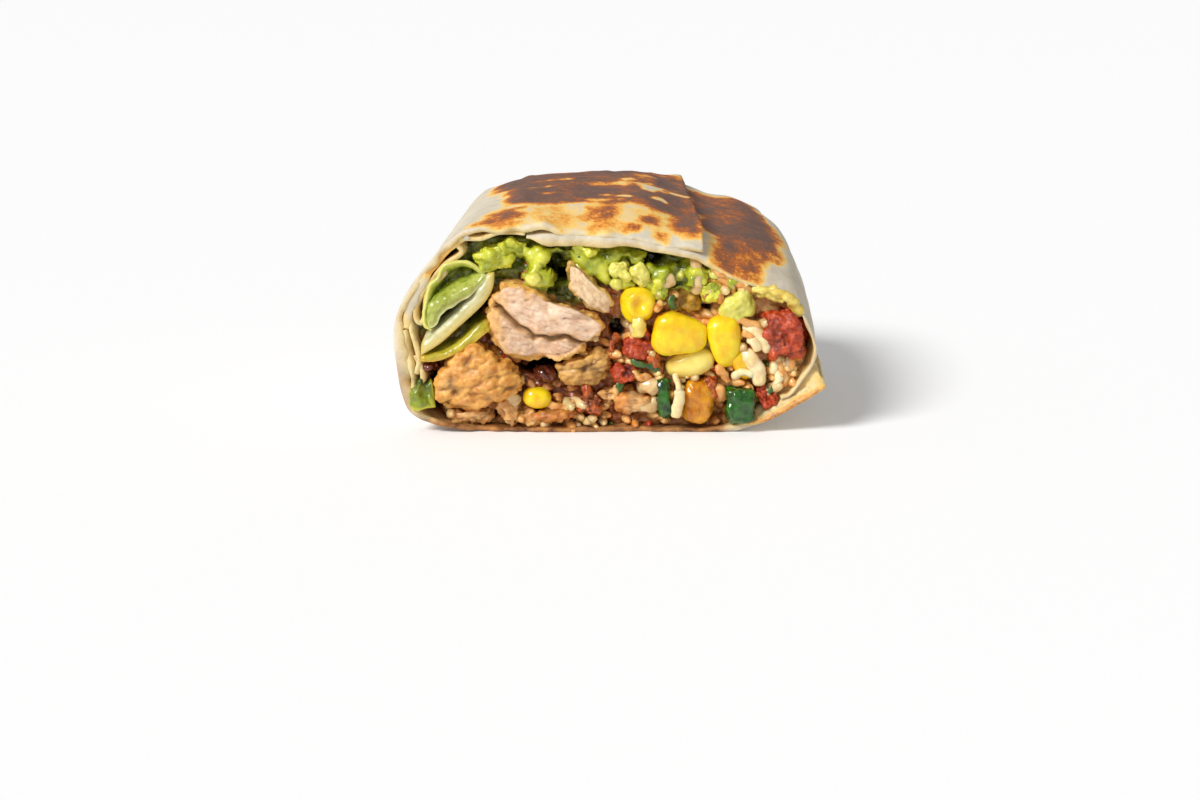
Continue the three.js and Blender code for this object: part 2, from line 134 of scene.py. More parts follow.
# %% Lines and rings
def smooth_line(points, count, closed=False):
    """An evenly spaced smooth line through a few points."""
    p = np.array(points, float)
    p = np.vstack([p[-1], p, p[0], p[1]]) if closed else np.vstack([2 * p[0] - p[1], p, 2 * p[-1] - p[-2]])
    t = np.linspace(0, 1, 24, endpoint=False)[:, None]
    parts = []
    for a, b, c, d in zip(p, p[1:], p[2:], p[3:]):
        parts.append(
            0.5 * (2 * b + (c - a) * t + (2 * a - 5 * b + 4 * c - d) * t**2 + (3 * b - a - 3 * c + d) * t**3)
        )
    line = np.vstack(parts + [p[-2:-1]])
    along = np.r_[0, np.cumsum(np.linalg.norm(np.diff(line, axis=0), axis=1))]
    places = np.linspace(0, along[-1], count + 1)[:-1] if closed else np.linspace(0, along[-1], count)
    return np.stack([np.interp(places, along, line[:, k]) for k in range(line.shape[1])], axis=1)


def beside(line, distance):
    """The line moved sideways, to the left of the way it runs, by a distance or one for each point."""
    along = np.gradient(line, axis=0)
    along /= np.linalg.norm(along, axis=1)[:, None]
    return line + np.stack([-along[:, 1], along[:, 0]], axis=1) * np.reshape(distance, (-1, 1))


def joined_rows(rows, count):
    """Faces between `rows` closed rings of `count` points each."""
    a = (np.arange(rows - 1)[:, None] * count + np.arange(count)).ravel()
    b = (np.arange(rows - 1)[:, None] * count + np.roll(np.arange(count), -1)).ravel()
    return np.stack([a, b, b + count, a + count], axis=1).tolist()


def end_faces(rows, count):
    """Faces that close the first and the last of `rows` flat rings of `count` points each."""
    last = (rows - 1) * count
    faces = []
    for i in range(count // 2 - 1):
        faces.append([i, count - 1 - i, count - 2 - i, i + 1])
        faces.append([last + i, last + i + 1, last + count - 2 - i, last + count - 1 - i])
    return faces


print("a line of", len(smooth_line([(0, 0), (4, 1), (8, 0)], 20)), "points")


# %% Meshes from points
def into_scene(name, data):
    thing = bpy.data.objects.new(name, data)
    bpy.context.scene.collection.objects.link(thing)
    return thing


def make_piece(name, points, faces, layers=None):
    """A closed, smooth-shaded mesh object from points in face millimetres."""
    mesh = bpy.data.meshes.new(name)
    mesh.from_pydata(to_metres(points).tolist(), [], faces)
    piece = into_scene(name, mesh)
    for layer, values in (layers or {}).items():
        paint(piece, layer, values)
    tidy_faces(mesh)
    return piece


def tidy_faces(mesh):
    shape = bmesh.new()
    shape.from_mesh(mesh)
    bmesh.ops.remove_doubles(shape, verts=shape.verts, dist=1e-6)
    bmesh.ops.recalc_face_normals(shape, faces=shape.faces)
    shape.to_mesh(mesh)
    shape.free()
    mesh.shade_smooth()


def read(piece):
    """Points in face millimetres, and the outward directions there."""
    mesh = piece.data
    mesh.update()
    places = np.empty(len(mesh.vertices) * 3)
    mesh.vertices.foreach_get("co", places)
    outward = np.empty(len(mesh.vertices) * 3)
    mesh.vertex_normals.foreach_get("vector", outward)
    return to_face(places.reshape(-1, 3)), outward.reshape(-1, 3)


def write(piece, points):
    piece.data.vertices.foreach_set("co", to_metres(points).ravel())
    piece.data.update()


def paint(piece, layer, values):
    attribute = piece.data.attributes.get(layer) or piece.data.attributes.new(layer, "FLOAT", "POINT")
    attribute.data.foreach_set("value", np.asarray(values, np.float32))


def read_layer_values(piece, layer):
    values = np.empty(len(piece.data.vertices), np.float32)
    piece.data.attributes[layer].data.foreach_get("value", values)
    return values


def serve(piece, nodes, finish):
    """Gives the piece its finish, and puts it in the place of its solids."""
    piece.data.materials.clear()
    piece.data.materials.append(finish)
    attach(piece, "root")
    if nodes:
        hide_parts(*nodes)
    print(piece.name, len(piece.data.polygons), "faces")


print("mesh helpers ready")

# %% [markdown]
# The knife pressed the edge of the wrap down and spread it. Behind the cut the food springs back to a
# rounder shape, and further back its sides close towards the folded end. The same law shaped the solid
# model, so the fine sheets that are drawn at the cut and carried back by it fit those solids.

# %% How a section changes on its way back
SPRING_BACK = 13.5
RISE = {"left": 0.0, "middle": 0.14, "right": 0.36}
LEFT_SLIMMING = 0.08
TAPER_START = 31.5
FOLD_HEIGHT = 21.5
LIFT_START = 58.0


def settle(line, depth, end=LENGTH):
    x, z = line[:, 0], line[:, 1]
    spring = 1 - math.exp(-max(depth, 0) / SPRING_BACK)
    side = np.where(x < 0, RISE["left"], RISE["right"])
    rise = RISE["middle"] + (side - RISE["middle"]) * np.minimum(abs(x) / HALF_WIDTH, 1)
    slimming = np.where(x < 0, LEFT_SLIMMING, 0)
    t, lifted = (min(max((depth - start) / (end - start), 0), 0.9995) for start in (TAPER_START, LIFT_START))
    wide, above, below = (1 - t**4) ** 0.45, (1 - t**3.4) ** 0.5, (1 - lifted**3) ** 0.5
    height = z * (1 + spring * rise) - FOLD_HEIGHT
    height = height * np.where(height > 0, above, below)
    across = x * (1 - spring * slimming) * wide
    return np.stack([across, np.full_like(x, depth), FOLD_HEIGHT + height], axis=1)


def depth_rows(count, end, first=0.0):
    """Depths of the rows: close together at the cut and at the folded end."""
    s = np.linspace(0, 1, count)
    eased = 0.45 * s + 0.55 * (0.5 - 0.5 * np.cos(np.pi * s))
    return first + (end - first) * eased


print("height at the middle, 20 mm behind the cut:", settle(np.array([[0.0, 40.2]]), 20)[0, 2].round(1))

# %% [markdown]
# ## Effects that several finishes share
# Three node groups are built once and placed in the materials with their own values. Uneven colour blends
# two colours in soft patches. Fibres are noise drawn out along one direction, for meat and leaves. Moist
# relief is the fine unevenness of a wet surface, for the bump. All of them read Object coordinates, which
# stay put.

# %% Node helpers
def rgb(red, green, blue):
    """A colour from 0 to 255 as the eye sees it, turned into the linear values that the shader works with."""
    parts = [part / 255 for part in (red, green, blue)]
    return [part / 12.92 if part < 0.04045 else ((part + 0.055) / 1.055) ** 2.4 for part in parts] + [1]


def new_group(name, inputs, outputs):
    group = bpy.data.node_groups.new(name, "ShaderNodeTree")
    for label, kind, value in inputs:
        socket = group.interface.new_socket(label, in_out="INPUT", socket_type=kind)
        socket.default_value = value
    for label, kind in outputs:
        group.interface.new_socket(label, in_out="OUTPUT", socket_type=kind)
    return group, group.nodes.new("NodeGroupInput"), group.nodes.new("NodeGroupOutput")


def link(tree, *pairs):
    for source, target in pairs:
        tree.links.new(source, target)


def feed(tree, value, socket):
    """Joins a socket to another one, or gives it a plain value."""
    if isinstance(value, bpy.types.NodeSocket):
        tree.links.new(value, socket)
    else:
        socket.default_value = value


def object_place(tree):
    return tree.nodes.new("ShaderNodeTexCoord").outputs["Object"]


def per_millimetre(tree, size):
    """Turns a size in millimetres into the scale of a texture on Object coordinates, which are metres."""
    divide = tree.nodes.new("ShaderNodeMath")
    divide.operation = "DIVIDE"
    divide.inputs[0].default_value = 1 / MM
    link(tree, (size, divide.inputs[1]))
    return divide.outputs[0]


def add_noise(tree, scale, vector, detail=3.0, roughness=0.55, warp=0.0):
    texture = tree.nodes.new("ShaderNodeTexNoise")
    texture.inputs["Detail"].default_value = detail
    texture.inputs["Roughness"].default_value = roughness
    texture.inputs["Distortion"].default_value = warp
    link(tree, (vector, texture.inputs["Vector"]), (scale, texture.inputs["Scale"]))
    return texture.outputs["Fac"]


def add_ramp(tree, value, *stops):
    ramp = tree.nodes.new("ShaderNodeValToRGB")
    elements = ramp.color_ramp.elements
    elements[1].position, elements[0].position = stops[-1][0], stops[0][0]
    for place, _ in stops[1:-1]:
        elements.new(place)
    for element, (_, color) in zip(elements, stops):
        element.color = color if isinstance(color, (list, tuple)) else (color, color, color, 1)
    link(tree, (value, ramp.inputs["Fac"]))
    return ramp.outputs["Color"]


def add_mix(tree, share, first, second, mode="MIX"):
    """Blends two colours. The node has sockets for numbers too, so its colour ones are picked."""
    mix = tree.nodes.new("ShaderNodeMix")
    mix.data_type = "RGBA"
    mix.blend_type = mode
    color_sockets = [socket for socket in mix.inputs if socket.type == "RGBA"]
    for value, socket in zip((share, first, second), (mix.inputs[0], *color_sockets)):
        feed(tree, value, socket)
    return [socket for socket in mix.outputs if socket.type == "RGBA"][0]


def add_math(tree, operation, first, second=0.0, third=None, limit=False):
    node = tree.nodes.new("ShaderNodeMath")
    node.operation = operation
    node.use_clamp = limit
    for value, socket in zip((first, second, third), node.inputs):
        if value is not None:
            feed(tree, value, socket)
    return node.outputs[0]


print("pale cream as the shader takes it", [round(part, 3) for part in rgb(226, 212, 182)])

# %% Uneven colour
COLOR, VALUE = "NodeSocketColor", "NodeSocketFloat"
uneven, uneven_in, uneven_out = new_group(
    "Uneven colour",
    [
        ("Dark", COLOR, rgb(120, 90, 50)), ("Light", COLOR, rgb(230, 200, 150)),
        ("Patch mm", VALUE, 3.0), ("Balance", VALUE, 0.0),
    ],
    [("Color", COLOR), ("Patches", VALUE)],
)
patch_scale = per_millimetre(uneven, uneven_in.outputs["Patch mm"])
patches = add_noise(uneven, patch_scale, object_place(uneven), 4, 0.6, 0.4)
balanced = add_math(uneven, "ADD", patches, uneven_in.outputs["Balance"])
spread = add_math(uneven, "MULTIPLY_ADD", balanced, 2.6, -0.8, limit=True)
blended = add_mix(uneven, spread, uneven_in.outputs["Dark"], uneven_in.outputs["Light"])
link(uneven, (blended, uneven_out.inputs["Color"]), (spread, uneven_out.inputs["Patches"]))
print(uneven.name, "ready")

# %% Fibres
fibres, fibres_in, fibres_out = new_group(
    "Fibres", [("Width mm", VALUE, 0.5), ("Stretch", VALUE, 7.0), ("Turn", VALUE, 0.0)], [("Strands", VALUE)],
)
turn = fibres.nodes.new("ShaderNodeVectorRotate")
turn.rotation_type = "Y_AXIS"
apart = fibres.nodes.new("ShaderNodeSeparateXYZ")
again = fibres.nodes.new("ShaderNodeCombineXYZ")
drawn_out = add_math(fibres, "DIVIDE", apart.outputs["X"], fibres_in.outputs["Stretch"])
link(
    fibres, (object_place(fibres), turn.inputs["Vector"]), (fibres_in.outputs["Turn"], turn.inputs["Angle"]),
    (turn.outputs[0], apart.inputs[0]), (drawn_out, again.inputs["X"]),
    (apart.outputs["Y"], again.inputs["Y"]), (apart.outputs["Z"], again.inputs["Z"]),
)
strand_scale = per_millimetre(fibres, fibres_in.outputs["Width mm"])
strands = add_noise(fibres, strand_scale, again.outputs[0], 3, 0.6, 0.6)
link(fibres, (strands, fibres_out.inputs["Strands"]))
print(fibres.name, "ready")

# %% Moist relief
moist, moist_in, moist_out = new_group(
    "Moist relief",
    [("Grain mm", VALUE, 0.5), ("Pits", VALUE, 0.5)],
    [("Height", VALUE), ("Dullness", VALUE)],
)
where = object_place(moist)
fine = add_noise(moist, per_millimetre(moist, moist_in.outputs["Grain mm"]), where, 3, 0.6)
coarse_size = add_math(moist, "MULTIPLY", moist_in.outputs["Grain mm"], 5.0)
coarse = add_noise(moist, per_millimetre(moist, coarse_size), where, 2, 0.5, 0.5)
pitted = add_math(moist, "MULTIPLY", fine, moist_in.outputs["Pits"])
link(moist, (add_math(moist, "ADD", coarse, pitted), moist_out.inputs["Height"]))
link(moist, (add_math(moist, "MULTIPLY_ADD", coarse, 1.6, -0.4, limit=True), moist_out.inputs["Dullness"]))
print(moist.name, "ready")

# %% [markdown]
# Most of the filling is moist food: light sinks a little way in and comes out again, and a thin wet film
# gives small sharp highlights. One function makes such a finish from two colours and a few sizes, so that
# each food differs by its values, and a finish with a marking of its own starts from it too.

# %% A moist finish
# how far red, green and blue light sink in, beside each other
REDDER_DEEPER = (1.0, 0.6, 0.3)


def place_group(tree, group, **values):
    node = tree.nodes.new("ShaderNodeGroup")
    node.node_tree = group
    for label, value in values.items():
        node.inputs[label.replace("_", " ")].default_value = value
    return node


def two_colors(tree, dark, light, patch, balance=0.0):
    """Two colours in uneven patches of `patch` millimetres; more balance gives more of the light one."""
    blend = place_group(tree, uneven, Dark=rgb(*dark), Light=rgb(*light), Patch_mm=patch, Balance=balance)
    return blend.outputs["Color"]


def set_color(tree, color, crease_shade=0.62, shade=(66, 34, 16)):
    """Joins a colour to the shader, with painted shade where a painted layer marks folds and hollows."""
    shaded = add_mix(tree, crease_shade, color, rgb(*shade), "MULTIPLY")
    darkened = add_mix(tree, read_layer(tree, "crease_shade"), color, shaded)
    link(tree, (darkened, tree.nodes["Principled BSDF"].inputs["Base Color"]))


def read_layer(tree, layer):
    node = tree.nodes.new("ShaderNodeAttribute")
    node.attribute_name = layer
    return node.outputs["Fac"]


def moist_finish(
    name, dark, light, patch=3.0, balance=0.0, grain=0.5, bump=0.25, gloss=(0.3, 0.55), depth=0.0015,
    soak=0.25, film=0.3, pits=0.5,
):
    """A finish of two blended colours. `gloss` is the roughness where it is wettest and driest."""
    finish = bpy.data.materials.new(name)
    finish.use_nodes = True
    tree = finish.node_tree
    shader = tree.nodes["Principled BSDF"]
    color = two_colors(tree, dark, light, patch, balance)
    relief = place_group(tree, moist, Grain_mm=grain, Pits=pits)
    raised = tree.nodes.new("ShaderNodeBump")
    raised.inputs["Strength"].default_value = bump
    raised.inputs["Distance"].default_value = 0.4 * MM
    dullness = tree.nodes.new("ShaderNodeMapRange")
    dullness.inputs["To Min"].default_value, dullness.inputs["To Max"].default_value = gloss
    # painted shade: every moist finish is darker where a painted layer marks folds, pits and hollows
    set_color(tree, color)
    link(
        tree,
        (relief.outputs["Height"], raised.inputs["Height"]),
        (raised.outputs["Normal"], shader.inputs["Normal"]),
        (relief.outputs["Dullness"], dullness.inputs["Value"]),
        (dullness.outputs[0], shader.inputs["Roughness"]),
    )
    shader.inputs["Subsurface Weight"].default_value = soak
    shader.inputs["Subsurface Radius"].default_value = REDDER_DEEPER
    shader.inputs["Subsurface Scale"].default_value = depth
    shader.inputs["Coat Weight"].default_value = film
    shader.inputs["Coat Roughness"].default_value = 0.12
    return finish, tree, color


print("moist finish ready")

# %% [markdown]
# ## The wrap
# The tortilla is one soft flour sheet. It starts at a free edge on top, runs down the left side and under
# the food, and ends in a pinched hem at the lower right. A second turn of it shows as the right-hand side
# and goes on under the top as a pale band. Each turn is drawn at the cut as an outer and an inner line, and
# both lines are carried back by the law above. Cloth simulation could fold it, but the folds here are
# known, so lines are surer.

# %% Lines of the wrap at the cut
TOP_AND_LEFT = [
    (18.9, 37.8), (13, 38.1), (5, 39.6), (-4, 40.4), (-12, 41.2), (-19, 41.6), (-26.4, 40.8), (-31.2, 38.6),
    (-35, 34.7), (-38.6, 30), (-41.4, 24.9), (-42.4, 20), (-41.9, 14), (-41, 8), (-39.4, 4), (-35.4, 1.8),
    (-28, 0.4), (-18, 0), (-8, 0), (2, 0), (12, 0), (20, 0), (27, 0.5), (32.1, 3), (36.8, 5.3), (43.8, 9.3),
]
RIGHT_AND_UNDER = [
    (34.8, 6.6), (36.8, 7.6), (38.4, 9.6), (41.1, 13.6), (41.6, 17), (40, 21.8), (36.8, 26.4), (30, 30),
    (24, 32.6), (19.4, 35.2), (15, 36.8), (9.4, 37.9), (5, 38.8), (-2, 39.5), (-10, 39.8), (-15.8, 39.4),
]
INNER_TURN = [
    (-16.2, 39.9), (-21, 40.1), (-24.8, 38.9), (-28.4, 38.9), (-29.7, 37.9), (-28.7, 36.4), (-29.6, 35.2),
    (-32.4, 33.4), (-35.3, 29.6), (-37.7, 26), (-38, 23.2), (-37.2, 21.9), (-36.3, 23.2), (-35.9, 26.8),
    (-35, 29.4), (-32.6, 31.6), (-32.4, 33),
]
PLEATS = [
    # line, half thickness, how golden
    ([(-39.6, 24.4), (-38.9, 20.4), (-37.9, 17), (-37.5, 14.2), (-38.2, 12)], 0.5, 0.0),
    ([(-40.4, 20.6), (-39.6, 16.4), (-38.9, 12.4), (-38.7, 9)], 0.5, 0.0),
    ([(-27.4, 39.6), (-31.2, 37), (-34.6, 32.9), (-37.6, 28.2), (-39.4, 24.2), (-39.9, 21)], 0.75, 0.9),
    ([(-38.2, 15.6), (-36.9, 12.6), (-37, 10), (-38.2, 7.4), (-37.4, 5.4)], 0.45, 0.0),
]


END_WALL = 3.0
SQUEEZED_AT_CUT = 0.72


def sheet(name, outer, inner, rows, deepest=LENGTH, waves=0.5):
    """A closed sheet between two lines with as many points each, carried back from the cut."""
    around = np.vstack([outer, inner[::-1]])
    middle = np.vstack([(outer + inner) / 2, ((outer + inner) / 2)[::-1]])
    count, half = len(around), len(outer)
    inner_end = LENGTH - END_WALL
    points = []
    for k, depth in enumerate(rows):
        ring = middle + (around - middle) * (SQUEEZED_AT_CUT if k == 0 else 1)
        skin = settle(ring[:half], depth)
        lining = settle(ring[half:], depth * inner_end / LENGTH, inner_end)
        points.append(np.vstack([skin, lining]))
    points = np.array(points)
    if deepest >= LENGTH - 1:
        points[-1, :half] = [0, deepest, FOLD_HEIGHT]
        points[-1, half:] = [0, inner_end, FOLD_HEIGHT]
    cut = points[0]
    fray = waves * noise(cut[:, [0, 2, 1]], 6, 3) + 0.3 * noise(cut, 2, 4) + 0.12 * noise(cut, 0.8, 5)
    points[..., 1] += fray * np.exp(-points[..., 1] / 3)
    faces = joined_rows(len(rows), count) + end_faces(len(rows), count)
    is_skin = np.tile(np.arange(count) < half, len(rows)).astype(float)
    return make_piece(name, points.reshape(-1, 3), faces, {"skin": is_skin})


print("lines ready")

# %% [markdown]
# The hot plate browned only what touched it: a dark scorch across the top, orange patches where the food
# slopes to the cut, spots beside the flap, and on the right-hand turn a dark patch with a lighter one in
# front of it. Each is drawn as an outline in plan. How deep a point lies inside its outline, upset by
# noise, becomes the heat that colours it, so the edges come out ragged as real toast marks are. Where the
# sheet stood off the plate, lighter spots remain inside the scorch.

# %% Where the plate toasted the wrap
SCORCH = [
    (-22, 55), (-23, 42), (-21, 28), (-20, 15), (-10, 14), (0, 12.5), (8, 14), (14, 12.5), (20.4, 13),
    (20.4, 40), (19, 53), (11, 60), (-4, 63), (-15, 60),
]
TOAST_MARKS = [
    # outline in plan, how strongly it is toasted
    (SCORCH, 0.86),
    ([(-26.4, 1.6), (-21, 13), (-15.5, 14), (-17, 2.6), (-20, 0)], 0.66),
    ([(-16.5, 0), (-15.5, 12), (-7, 13), (-4.5, 1.4), (-9, -1)], 0.33),
    ([(-5, 4.6), (-5.4, 12.4), (3, 13), (3, 8), (0.4, 4.2)], 0.74),
    ([(-3, 0.6), (-4.6, 6), (3, 8), (3.8, 3), (0.4, 0.4)], 0.5),
    ([(-18, 0), (-16, 14), (20, 14), (19, 6), (12, 5), (8, 3), (-6, 2)], 0.22),
    ([(6, 5.4), (6.8, 8.4), (10.2, 7.8), (9.6, 5)], 0.8),
    ([(3.4, 1), (4.2, 3.8), (6.8, 3.8), (6.4, 0.6)], 0.8),
    ([(8.2, 0.2), (9, 3.6), (12, 2.8), (11.6, -0.4)], 0.78),
    ([(13, 10), (12.2, 5.4), (15.4, 2.2), (18.6, 1), (20.4, 9), (20.4, 18), (14, 18)], 0.76),
]
RIGHT_MARKS = [
    ([(23.4, 7), (22.4, 12), (18.6, 19), (16, 56), (30, 56), (34.8, 46), (35.8, 30), (35.4, 18), (32.6, 10),
      (29, 6.4), (25, 5.2)], 0.88),
    ([(20.2, -3), (21, 4), (22.6, 8), (22, 13), (31, 14), (31.8, 9), (30, 4), (29.2, -3)], 0.62),
]
LIGHTER_IN_SCORCH = [
    # middle in plan, half width and half length, how much lighter
    (10, 30, 5.4, 4.4, 0.92), (0, 33, 5.4, 2.6, 0.6), (4, 38, 2, 2.4, 0.7), (0, 21, 1.6, 1.4, 0.8),
    (4, 19.6, 2.2, 1.4, 0.8), (10.6, 20.4, 2.4, 1.4, 0.92), (15.4, 31, 2.4, 2, 0.6),
    (-2, 16.4, 4.6, 1.2, 0.6), (-14, 30, 4, 1.5, 0.6), (-9, 39, 5, 2, 0.6), (-12, 22, 3, 1.2, 0.6),
    (9, 45, 5, 2.4, 0.5), (-8, 51, 4, 2, 0.5),
]


FAR = 1e9


def distance_to_line(line, x, y):
    nearest = np.full(x.shape, FAR)
    for (ax, ay), (bx, by) in zip(line, line[1:]):
        dx, dy = bx - ax, by - ay
        share = np.clip(((x - ax) * dx + (y - ay) * dy) / (dx**2 + dy**2), 0, 1)
        nearest = np.minimum(nearest, np.hypot(x - ax - share * dx, y - ay - share * dy))
    return nearest


def depth_inside(outline, x, y):
    """How far a point lies inside an outline, in millimetres; negative outside it."""
    ring = np.array([*outline, outline[0]], float)
    inside = np.zeros(x.shape, bool)
    for (ax, ay), (bx, by) in zip(ring, ring[1:]):
        crosses = (ay > y) != (by > y)
        inside ^= crosses & (x < (bx - ax) * (y - ay) / np.where(by == ay, FAR, by - ay) + ax)
    nearest = distance_to_line(ring, x, y)
    return np.where(inside, nearest, -nearest)


def heat(points, marks):
    """How strongly the plate browned each point, from 0 to about 1."""
    x, y = points[:, 0], points[:, 1]
    upset = 2.1 * rough(points * [1, 1, 0.5], 6, 4, 11)
    level = np.zeros(len(points))
    for outline, strength in marks:
        ragged = depth_inside(outline, x, y) + upset
        level = np.maximum(level, strength * step_between(-3.2, 3, ragged))
    for lx, ly, wide, long, lighter in LIGHTER_IN_SCORCH:
        spot = np.hypot((x - lx) / wide, (y - ly) / long) + 0.5 * rough(points, 3, 3, 17)
        level *= 1 - lighter * (1 - step_between(0.3, 1.25, spot)) * (x < 19)
    return level * (1 + 0.3 * rough(points * [1, 0.6, 1], 4, 4, 19))


print("toast marks", len(TOAST_MARKS) + len(RIGHT_MARKS))

# %% [markdown]
# Flour tortilla is matt and floury, cream where it stayed pale. Heat takes it through gold and orange to a
# dark brown whose purple-grey cast is a painted sheen of reflected sky. A ramp on the painted heat gives
# those colours, and fine noise breaks them up. Where the sheet was cut or lies inside, it is moist and more
# yellow.

# %% Tortilla finish
tortilla_finish, tree, cream = moist_finish(
    "Toasted tortilla", (198, 184, 158), (220, 208, 186), patch=6, balance=0.1, grain=0.35, bump=0.35,
    gloss=(0.55, 0.8), depth=0.002, soak=0.2, film=0.0, pits=0.7,
)
where = object_place(tree)
heat_layer = read_layer(tree, "toast")
blotch = tree.nodes.new("ShaderNodeTexNoise")
blotch.inputs["Scale"].default_value = 420
blotch.inputs["Detail"].default_value = 5
blotch.inputs["Roughness"].default_value = 0.68
speckle = tree.nodes.new("ShaderNodeTexNoise")
speckle.inputs["Scale"].default_value = 1500
speckle.inputs["Detail"].default_value = 3
link(tree, (where, blotch.inputs["Vector"]), (where, speckle.inputs["Vector"]))
broken = add_math(tree, "MULTIPLY_ADD", blotch.outputs["Fac"], 1.0, -0.5)
finer = add_math(tree, "MULTIPLY_ADD", speckle.outputs["Fac"], 0.8, -0.4)
where_browned = add_math(tree, "MULTIPLY_ADD", heat_layer, 1.1, 0.12, limit=True)
blotches = add_math(tree, "MULTIPLY", add_math(tree, "ADD", broken, finer), where_browned)
hot = add_math(tree, "ADD", heat_layer, blotches, limit=True)
# the two darkest stops are real scorch with a purple-grey cast that is a painted sheen of reflected sky
toasted = add_ramp(
    tree, hot, (0.06, rgb(226, 212, 182)), (0.24, rgb(253, 206, 112)), (0.4, rgb(240, 158, 54)),
    (0.56, rgb(184, 98, 36)), (0.74, rgb(138, 88, 58)), (0.96, rgb(112, 82, 70)),
)
is_toasted = add_ramp(tree, hot, (0.04, 0.0), (0.18, 1.0))
outside = add_mix(tree, is_toasted, cream, toasted)
moist_cream = two_colors(tree, (204, 164, 84), (240, 216, 154), 3.4, 0.08)
colored = add_mix(tree, read_layer(tree, "skin"), moist_cream, outside)
# sauce colour; low on the left wall it is sauce stain with painted shade
sauce = two_colors(tree, (84, 44, 22), (204, 144, 76), 2.4, -0.02)
set_color(tree, add_mix(tree, read_layer(tree, "sauce"), colored, sauce))
print(tortilla_finish.name, "ready")

# %% Outer turn: top, left side, base and hem
def wall_thickness(line):
    """Thin on top, where it was toasted, thicker at the pleated left side, and widest in the pinched hem."""
    x, z = line[:, 0], line[:, 1]
    pleated = np.exp(-((z - 14) / 7) ** 2) * (x < -36)
    hem = step_between(26, 38, x) * (z < 12)
    top = (z > 36) * 1.0
    below = step_between(2.4, 1.0, z) * step_between(-38, -30, x) * step_between(26, 20, x)
    return 1.5 - 0.35 * top + 1.1 * pleated + 0.3 * hem - 0.7 * below


TUCKS = [
    # degrees round the folded end, and how far each one slopes
    (24, 75), (128, 90), (205, 60), (300, 80),
]


def crown(points):
    """How much higher the middle of the back lies, and how much lower its right side, than the law says."""
    x, y, z = points.T
    shape = 0.5 * np.exp(-(((x + 5) / 11) ** 2)) - 2.9 * np.exp(-(((x - 18.5) / 6) ** 2))
    return shape * step_between(2, 20, y) * step_between(72, 48, y) * step_between(26, 33, z)


def wrap_relief(piece, marks):
    """Soft waves, small puckers, blisters where it browned, and the overlapping tucks of the folded end."""
    points, outward = read(piece)
    skin = read_layer_values(piece, "skin")
    points[:, 2] += crown(points)
    level = heat(points, marks) * skin * (outward[:, 2] > -0.2) * step_between(22, 29, points[:, 2])
    push = 0.4 * noise(points, 13, 1) + 0.16 * noise(points, 4.5, 2) + 0.06 * noise(points, 1.4, 3)
    blisters = np.maximum(noise(points, 3.4, 4) - 0.15, 0) * 0.5 * level
    around_end = np.degrees(np.arctan2(points[:, 2] - FOLD_HEIGHT, points[:, 0] * 0.7))
    around_end = around_end + 9 * noise(points, 9, 6)
    tucks = np.zeros(len(points))
    for start, width in TUCKS:
        behind = (around_end - start) % 360
        tucks = np.maximum(tucks, step_between(0, 5, behind) * (1 - step_between(5, width, behind)))
    tucks = tucks * step_between(46, 70, points[:, 1]) * step_between(81.5, 78, points[:, 1])
    calm = step_between(0.0, 5, points[:, 1]) * 0.75 + 0.25
    push = (push * calm + blisters) * np.where(points[:, 2] < 1.2, 0.15, 1)
    push = push * step_between(81.2, 78, points[:, 1]) + 1.7 * tucks * skin
    points = points + outward * push[:, None]
    points[:, 2] = np.maximum(points[:, 2], 0.0)
    write(piece, points)
    paint(piece, "toast", level)
    # sauce soaked into the lower edge; low on the left wall the same dark sauce colour is also painted shade
    low_edge = step_between(4.4, 1.6, points[:, 2] + noise(points, 3, 15))
    low_edge = low_edge * step_between(27, 22, points[:, 0] + 2 * noise(points, 2, 14))
    left_wall_stain_and_shade = step_between(-38, -41, points[:, 0] + noise(points, 4, 16))
    left_wall_stain_and_shade = left_wall_stain_and_shade * step_between(19, 8, points[:, 2])
    wet = np.maximum(low_edge, 0.6 * left_wall_stain_and_shade) * step_between(7, 1, points[:, 1] + 2 * noise(points, 3, 18))
    paint(piece, "sauce", wet)


FLAP_SLANT = 1.8
outer_line = smooth_line(TOP_AND_LEFT, 330)
outer_line[:, 1] = np.maximum(outer_line[:, 1], 0)
uneven_wall = wall_thickness(outer_line) * (1 + 0.3 * noise(outer_line[:, [0, 1, 1]], 2.6, 9))
wrap_outer = sheet("wrap_outer", outer_line, beside(outer_line, uneven_wall), depth_rows(120, LENGTH))
points, _ = read(wrap_outer)
on_top = step_between(28, 34, points[:, 2])
flap = on_top * step_between(9, 19, points[:, 0]) * step_between(4, 42, points[:, 1])
points[:, 0] -= FLAP_SLANT * flap
lifted = 0.9 * np.exp(-(((points[:, 0] + 13.2) / 2.4) ** 2))
lifted = lifted - 0.5 * np.exp(-(((points[:, 0] + 8.6) / 2) ** 2)) + 0.55 * noise(points * [1, 0, 0], 3.1, 33)
points[:, 2] += lifted * on_top * np.exp(-np.maximum(points[:, 1], 0) / 3.5)
write(wrap_outer, points)
wrap_relief(wrap_outer, TOAST_MARKS)
serve(wrap_outer, ["tortilla"], tortilla_finish)

# %% Second turn: right side and the pale band under the top
right_line = smooth_line(RIGHT_AND_UNDER, 190)
band_width = 1.5 + 0.8 * step_between(8, -4, right_line[:, 0]) - 0.8 * step_between(26, 34, right_line[:, 0])
band_width = band_width + 0.3 * noise(right_line[:, [0, 1, 1]], 3, 10)
band_width = band_width * (1 - 0.9 * step_between(-11.5, -15.8, right_line[:, 0]))
right_end = LENGTH - 0.4
right_rows = depth_rows(110, right_end, -0.15)
wrap_right = sheet("wrap_right", right_line, beside(right_line, band_width), right_rows, right_end)
wrap_relief(wrap_right, RIGHT_MARKS)
serve(wrap_right, ["tortilla"], tortilla_finish)

# %% [markdown]
# At the lower right both turns are pinched together and the pinched edge flares towards the viewer, so a
# slice of its inside shows, like the lip of a shell. It is a thin curved sheet through four lines.

